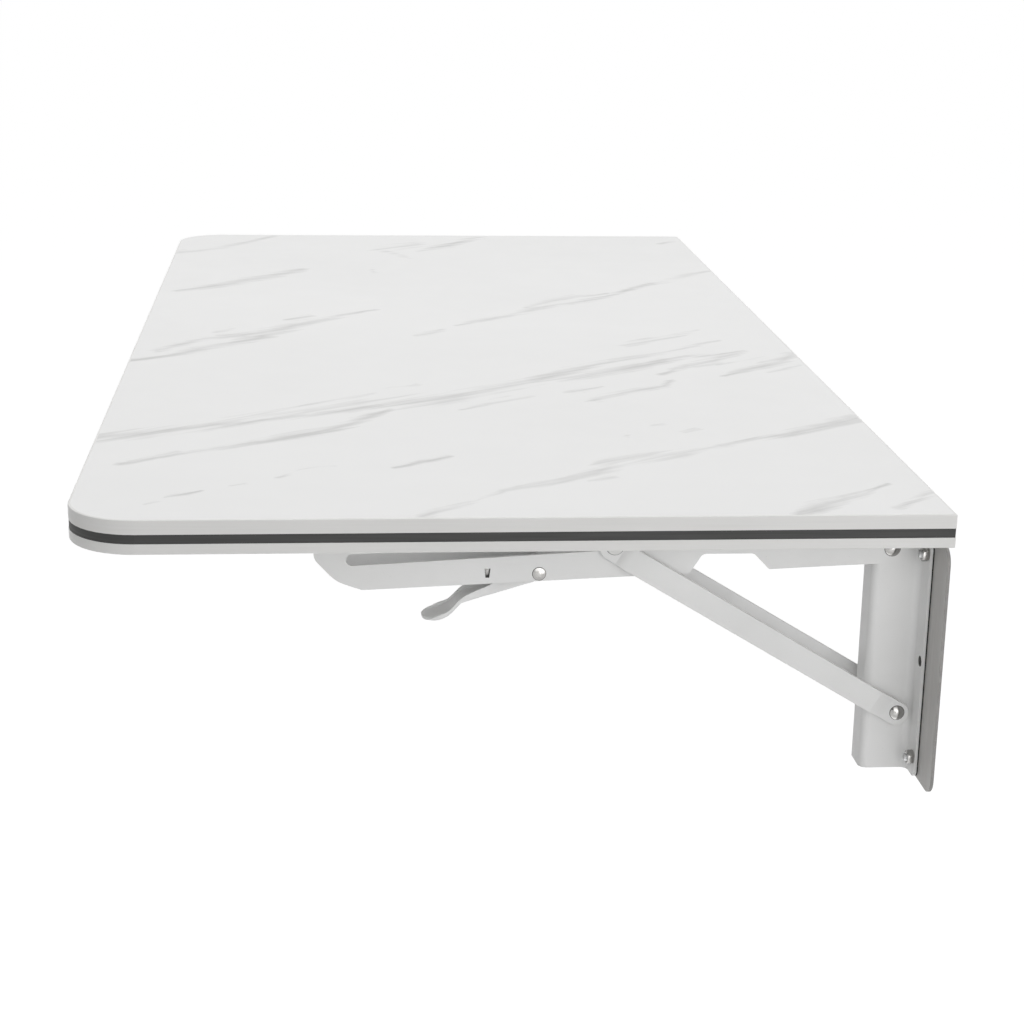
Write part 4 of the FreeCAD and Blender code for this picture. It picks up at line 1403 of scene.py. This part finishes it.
@dataclass
class LeverSpring(BracketPart):
    """Torsion spring round the lever's pin, hooked over the lever and in the arm.

    The foot in the arm's slit is its width at the top and at the bottom, its height and its thickness.
    """

    wire: float = 0.9
    coil_radius: float = 3.05
    coil_turns: float = 2.5
    coil_start: float = 183.0
    coil_short: float = 0.8
    turn_steps: int = 28
    shared_steps: int = 4
    coil_span: Point = (7.8, 11.5)
    leg_bend: float = 1.0
    lever_leg: float = 24.0
    lever_hook: float = 5.0
    arm_leg_slope: float = 2.2
    arm_hook: float = 1.5
    slit_depth: float = 11.7
    slit_foot: tuple[float, float, float, float] = (4.6, 3.8, 6.6, 0.6)
    foot_ease: float = 0.2
    foot_sharp: float = 30.0
    wire_smooth: float = 40.0

    def build(self) -> None:
        """Wind the lever's torsion spring, whose lever leg turns with the lever."""
        leg_line, coil_line = self.spring_lines()
        leg = self.draw_wire(self.side.node("spring_leg"), leg_line)
        coil = self.draw_wire("coil", coil_line)
        coil = Bench.join([coil, self.flatten_wire_end()], self.side.node("coil_spring"))
        for piece in (leg, coil):
            Bench.smooth(piece, self.wire_smooth)
        hand_over(leg, self.side.node("lever"), "spring_wire", self.finishes.wire)
        hand_over(coil, "leaf", "spring_wire", self.finishes.wire, self.side.node("lever_spring"))

    def spring_lines(self) -> tuple[list[Vector], list[Vector]]:
        """Lay out the middle lines of the lever spring's two parts, which share the start of the coil.

        Returns:
            The leg that is hooked over the lever, and the coil with the leg that is hooked in the arm's slit.
        """
        centre = self.middle("lever_pin")
        out, drop = -centre.y / MM, self.board_underside - centre.z / MM
        near, far = self.coil_span
        start = math.radians(self.coil_start)
        turn = self.coil_turns * 2.0 * math.pi - math.radians(self.coil_short)
        steps = int(self.coil_turns * self.turn_steps)
        coil = []
        for step in range(steps + 1):
            angle = start + turn * step / steps
            across, up = self.coil_radius * math.sin(angle), self.coil_radius * math.cos(angle)
            coil.append((out + across, drop - up, near + (far - near) * step / steps))
        (first_out, first_drop, _), (last_out, last_drop, _) = coil[0], coil[-1]
        leg_out = first_out - self.lever_leg * math.cos(start)
        leg_drop = first_drop - self.lever_leg * math.sin(start)
        slit_out = self.slit_out
        slit_drop = last_drop + (slit_out - last_out) * math.tan(math.radians(self.arm_leg_slope))
        bend = self.leg_bend
        lever_leg = [
            (leg_out, leg_drop, near - self.lever_hook), (leg_out, leg_drop, near - bend),
            (leg_out, leg_drop, near), (leg_out - bend, leg_drop, near),
            ((leg_out + first_out) / 2.0, (leg_drop + first_drop) / 2.0, near),
        ]
        arm_leg = [
            ((slit_out + last_out) / 2.0, (slit_drop + last_drop) / 2.0, far),
            (slit_out - bend, slit_drop, far), (slit_out, slit_drop, far),
            (slit_out, slit_drop, far + bend), (slit_out, slit_drop, far + self.arm_hook),
        ]
        leg, body = lever_leg + coil[:self.shared_steps], coil + arm_leg
        return [self.point(*spot) for spot in leg], [self.point(*spot) for spot in body]

    def flatten_wire_end(self) -> Piece:
        """Press the flat foot that holds the spring's arm leg in the arm's slit.

        Returns:
            The foot.
        """
        width, foot_width, height, thickness = self.slit_foot
        foot = Bench.block((thickness, width, height), Matrix())
        Bench.pick_faces(foot, lambda face: round(face.normal.z) == -1)
        bpy.ops.transform.resize(value=(1.0, foot_width / width, 1.0), center_override=(0.0, 0.0, 0.0))
        Bench.clear()
        Bench.bevel(foot, self.foot_ease, self.foot_sharp)
        Bench.settle(foot, Matrix.Translation(self.point(self.slit_out, self.slit_drop, self.slit_depth)))
        return foot

    def draw_wire(self, name: str, spots: Sequence[Vector]) -> Piece:
        """Draw round wire along a smooth line.

        Args:
            name: Name of the piece.
            spots: Points that lead the line.

        Returns:
            The wire as a mesh.
        """
        curve = bpy.data.curves.new(name, "CURVE")
        curve.dimensions = "3D"
        curve.bevel_depth = self.wire / 2.0 * MM
        curve.bevel_resolution = 4
        curve.use_fill_caps = True
        spline = curve.splines.new("NURBS")
        spline.points.add(len(spots) - 1)
        for knot, spot in zip(spline.points, spots):
            knot.co = (*spot, 1.0)
        spline.order_u = 3
        spline.use_endpoint_u = True
        spline.resolution_u = 3
        Bench.take(Bench.stand(name, curve))
        bpy.ops.object.convert(target="MESH")
        return bpy.context.object


@dataclass
class FoldingBracket:
    """One folding bracket with its wall plate, arm, brace, lever and hardware."""

    frame: dict
    finishes: Finishes
    side: Side

    def build(self) -> None:
        """Make or dress every piece of the bracket."""
        for part in (PressedSheet, ReleaseLever, PinsAndRivets, WallFixings, ArmScrews, LeverSpring):
            part(self.frame, self.finishes, self.side).build()
        dress_solids(self.frame, {
            # Painted shade: near-black pads standing for the shadow gap behind the flanges.
            self.side.node("wall_pads"): self.finishes.foam,
            self.side.node("foot_spacers"): self.finishes.nylon,
            self.side.node("lever_spacer"): self.finishes.nylon,
        })


def aimed(spot: Triple, aim: Triple, axis: str) -> Quaternion:
    """Turn that points an axis from a spot towards its aim."""
    return (Vector(aim) - Vector(spot)).to_track_quat(axis, "Y")


@dataclass(frozen=True)
class Lamp:
    """Square softbox: its place and aim, its side in metres and its power in watts."""

    name: str
    spot: Triple
    aim: Triple
    size: float
    power: float

    def hang(self) -> None:
        """Hang the lamp and aim it."""
        light = bpy.data.lights.new(self.name, "AREA")
        light.size = self.size
        light.energy = self.power
        holder = Bench.stand(self.name, light)
        holder.location = self.spot
        holder.rotation_euler = aimed(self.spot, self.aim, "-Z").to_euler()


LAMPS: tuple[Lamp, ...] = (
    Lamp("overhead_softbox", (-0.3, -0.2, 2.8), (0.0, -0.25, 0.0), 2.6, 60.0),
    Lamp("near_end_softbox", (2.3, -0.35, 0.75), (0.4, -0.2, 0.0), 1.2, 7.2),
    Lamp("wall_end_softbox", (2.1, 0.55, 0.15), (0.4, -0.15, 0.0), 1.2, 9.4),
    Lamp("low_softbox", (2.0, -0.2, -0.5), (0.4, -0.2, 0.0), 1.2, 1.6),
    Lamp("front_softbox", (0.6, -2.6, 0.2), (0.2, -0.2, 0.0), 1.6, 2.9),
    Lamp("under_softbox", (0.35, -0.3, -1.0), (0.35, -0.25, 0.0), 0.9, 2.0),
)


@dataclass
class Studio:
    """Floor, soft lights, white surroundings and the camera at the photograph's viewing angle."""

    white: Colour = (1.0, 1.0, 1.0)
    floor_height: float = -1.2
    floor_size: float = 60.0
    floor_glow: float = 0.945
    floor_colour: Colour = (0.70, 0.70, 0.70)
    floor_shade: Colour = (0.22, 0.22, 0.22)
    sky: float = 0.25
    card_spot: Triple = (1.55, -1.10, 0.70)
    card_aim: Triple = (0.45, -0.20, 0.05)
    card_size: float = 0.6
    card_colour: Colour = (0.01, 0.01, 0.01)
    card_roughness: float = 0.9
    eye: Triple = (1.60834, -0.35143, 0.43363)
    yaw: float = 0.0880117
    pitch: float = 0.2861417
    roll: float = 0.0178188
    lens: float = 73.61
    sensor: float = 36.0

    def build(self) -> None:
        """Set up the whole studio."""
        self.lay_floor()
        self.light_world()
        for lamp in LAMPS:
            lamp.hang()
        self.hang_card()
        self.stand_camera()
        bpy.context.scene.view_settings.view_transform = "Standard"

    @staticmethod
    def seen_ray(graph: NodeGraph) -> Socket:
        """Mark the rays that show the background itself: camera, glossy and transmission rays.

        Args:
            graph: Node tree that the mark is for.

        Returns:
            Socket that gives 1 on such rays.
        """
        path = graph.add("ShaderNodeLightPath").outputs
        total = path["Is Camera Ray"]
        for name in ("Is Glossy Ray", "Is Transmission Ray"):
            total = graph.math("MAXIMUM", total, path[name])
        return total

    def lay_floor(self) -> None:
        """Lay the pale floor, white to the camera but for the object's soft shadow."""
        Bench.clear()
        bpy.ops.mesh.primitive_plane_add(size=self.floor_size, location=(0.0, 0.0, self.floor_height))
        floor = bpy.context.object
        floor.name = "studio_floor"
        material = bpy.data.materials.new("studio_floor")
        material.use_nodes = True
        graph = NodeGraph(material.node_tree)
        graph.tree.nodes.clear()
        seen = self.seen_ray(graph)
        glow = graph.add("ShaderNodeEmission", self.white, graph.math("MULTIPLY", seen, self.floor_glow))
        matt = graph.add("ShaderNodeBsdfDiffuse", graph.blend(seen, self.floor_colour, self.floor_shade))
        both = graph.add("ShaderNodeAddShader", glow.outputs[0], matt.outputs[0])
        graph.add("ShaderNodeOutputMaterial", both.outputs[0])
        dress(floor, material)

    def light_world(self) -> None:
        """Light evenly from all round, and show white behind the object."""
        world = bpy.data.worlds.new("studio_world")
        bpy.context.scene.world = world
        world.use_nodes = True
        graph = NodeGraph(world.node_tree)
        background = graph.tree.nodes["Background"].inputs
        graph.feed(background["Strength"], graph.spread(self.seen_ray(graph), 0.0, 1.0, self.sky, 1.0))
        graph.feed(background["Color"], self.white)

    def hang_card(self) -> None:
        """Hang the black card that bright metal reflects, and that nothing else sees."""
        Bench.clear()
        bpy.ops.mesh.primitive_plane_add(size=self.card_size)
        card = bpy.context.object
        card.name = "black_card"
        facing = aimed(self.card_spot, self.card_aim, "Z").to_matrix().to_4x4()
        Bench.settle(card, Matrix.Translation(self.card_spot) @ facing)
        graph = Finish("black_card")
        graph.set(Base_Color=self.card_colour, Roughness=self.card_roughness, Specular_IOR_Level=0.0)
        dress(card, graph.material)
        for ray in ("camera", "diffuse", "transmission", "volume_scatter", "shadow"):
            setattr(card, f"visible_{ray}", False)

    def stand_camera(self) -> None:
        """Stand the camera where the photograph was taken from."""
        ahead = Vector((-math.cos(self.yaw), math.sin(self.yaw), 0.0))
        across = Vector((math.sin(self.yaw), math.cos(self.yaw), 0.0))
        upright = Vector((0.0, 0.0, 1.0))
        look = ahead * math.cos(self.pitch) - upright * math.sin(self.pitch)
        lifted = upright * math.cos(self.pitch) + ahead * math.sin(self.pitch)
        right = across * math.cos(self.roll) + lifted * math.sin(self.roll)
        top = lifted * math.cos(self.roll) - across * math.sin(self.roll)
        camera = bpy.data.cameras.new("photo_camera")
        camera.lens = self.lens
        camera.sensor_width = self.sensor
        holder = Bench.stand("photo_camera", camera)
        pose = Matrix((right, top, -look)).transposed().to_4x4()
        pose.translation = Vector(self.eye)
        holder.matrix_world = pose
        bpy.context.scene.camera = holder


def main() -> None:
    """Load the model, build and dress every piece and set up the studio."""
    logging.basicConfig(level=logging.INFO, format="%(message)s")
    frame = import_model()
    finishes = Finishes()
    Tabletop(frame, finishes).build()
    for side in Side:
        FoldingBracket(frame, finishes, side).build()
    Studio().build()


if __name__ == "__main__":
    main()
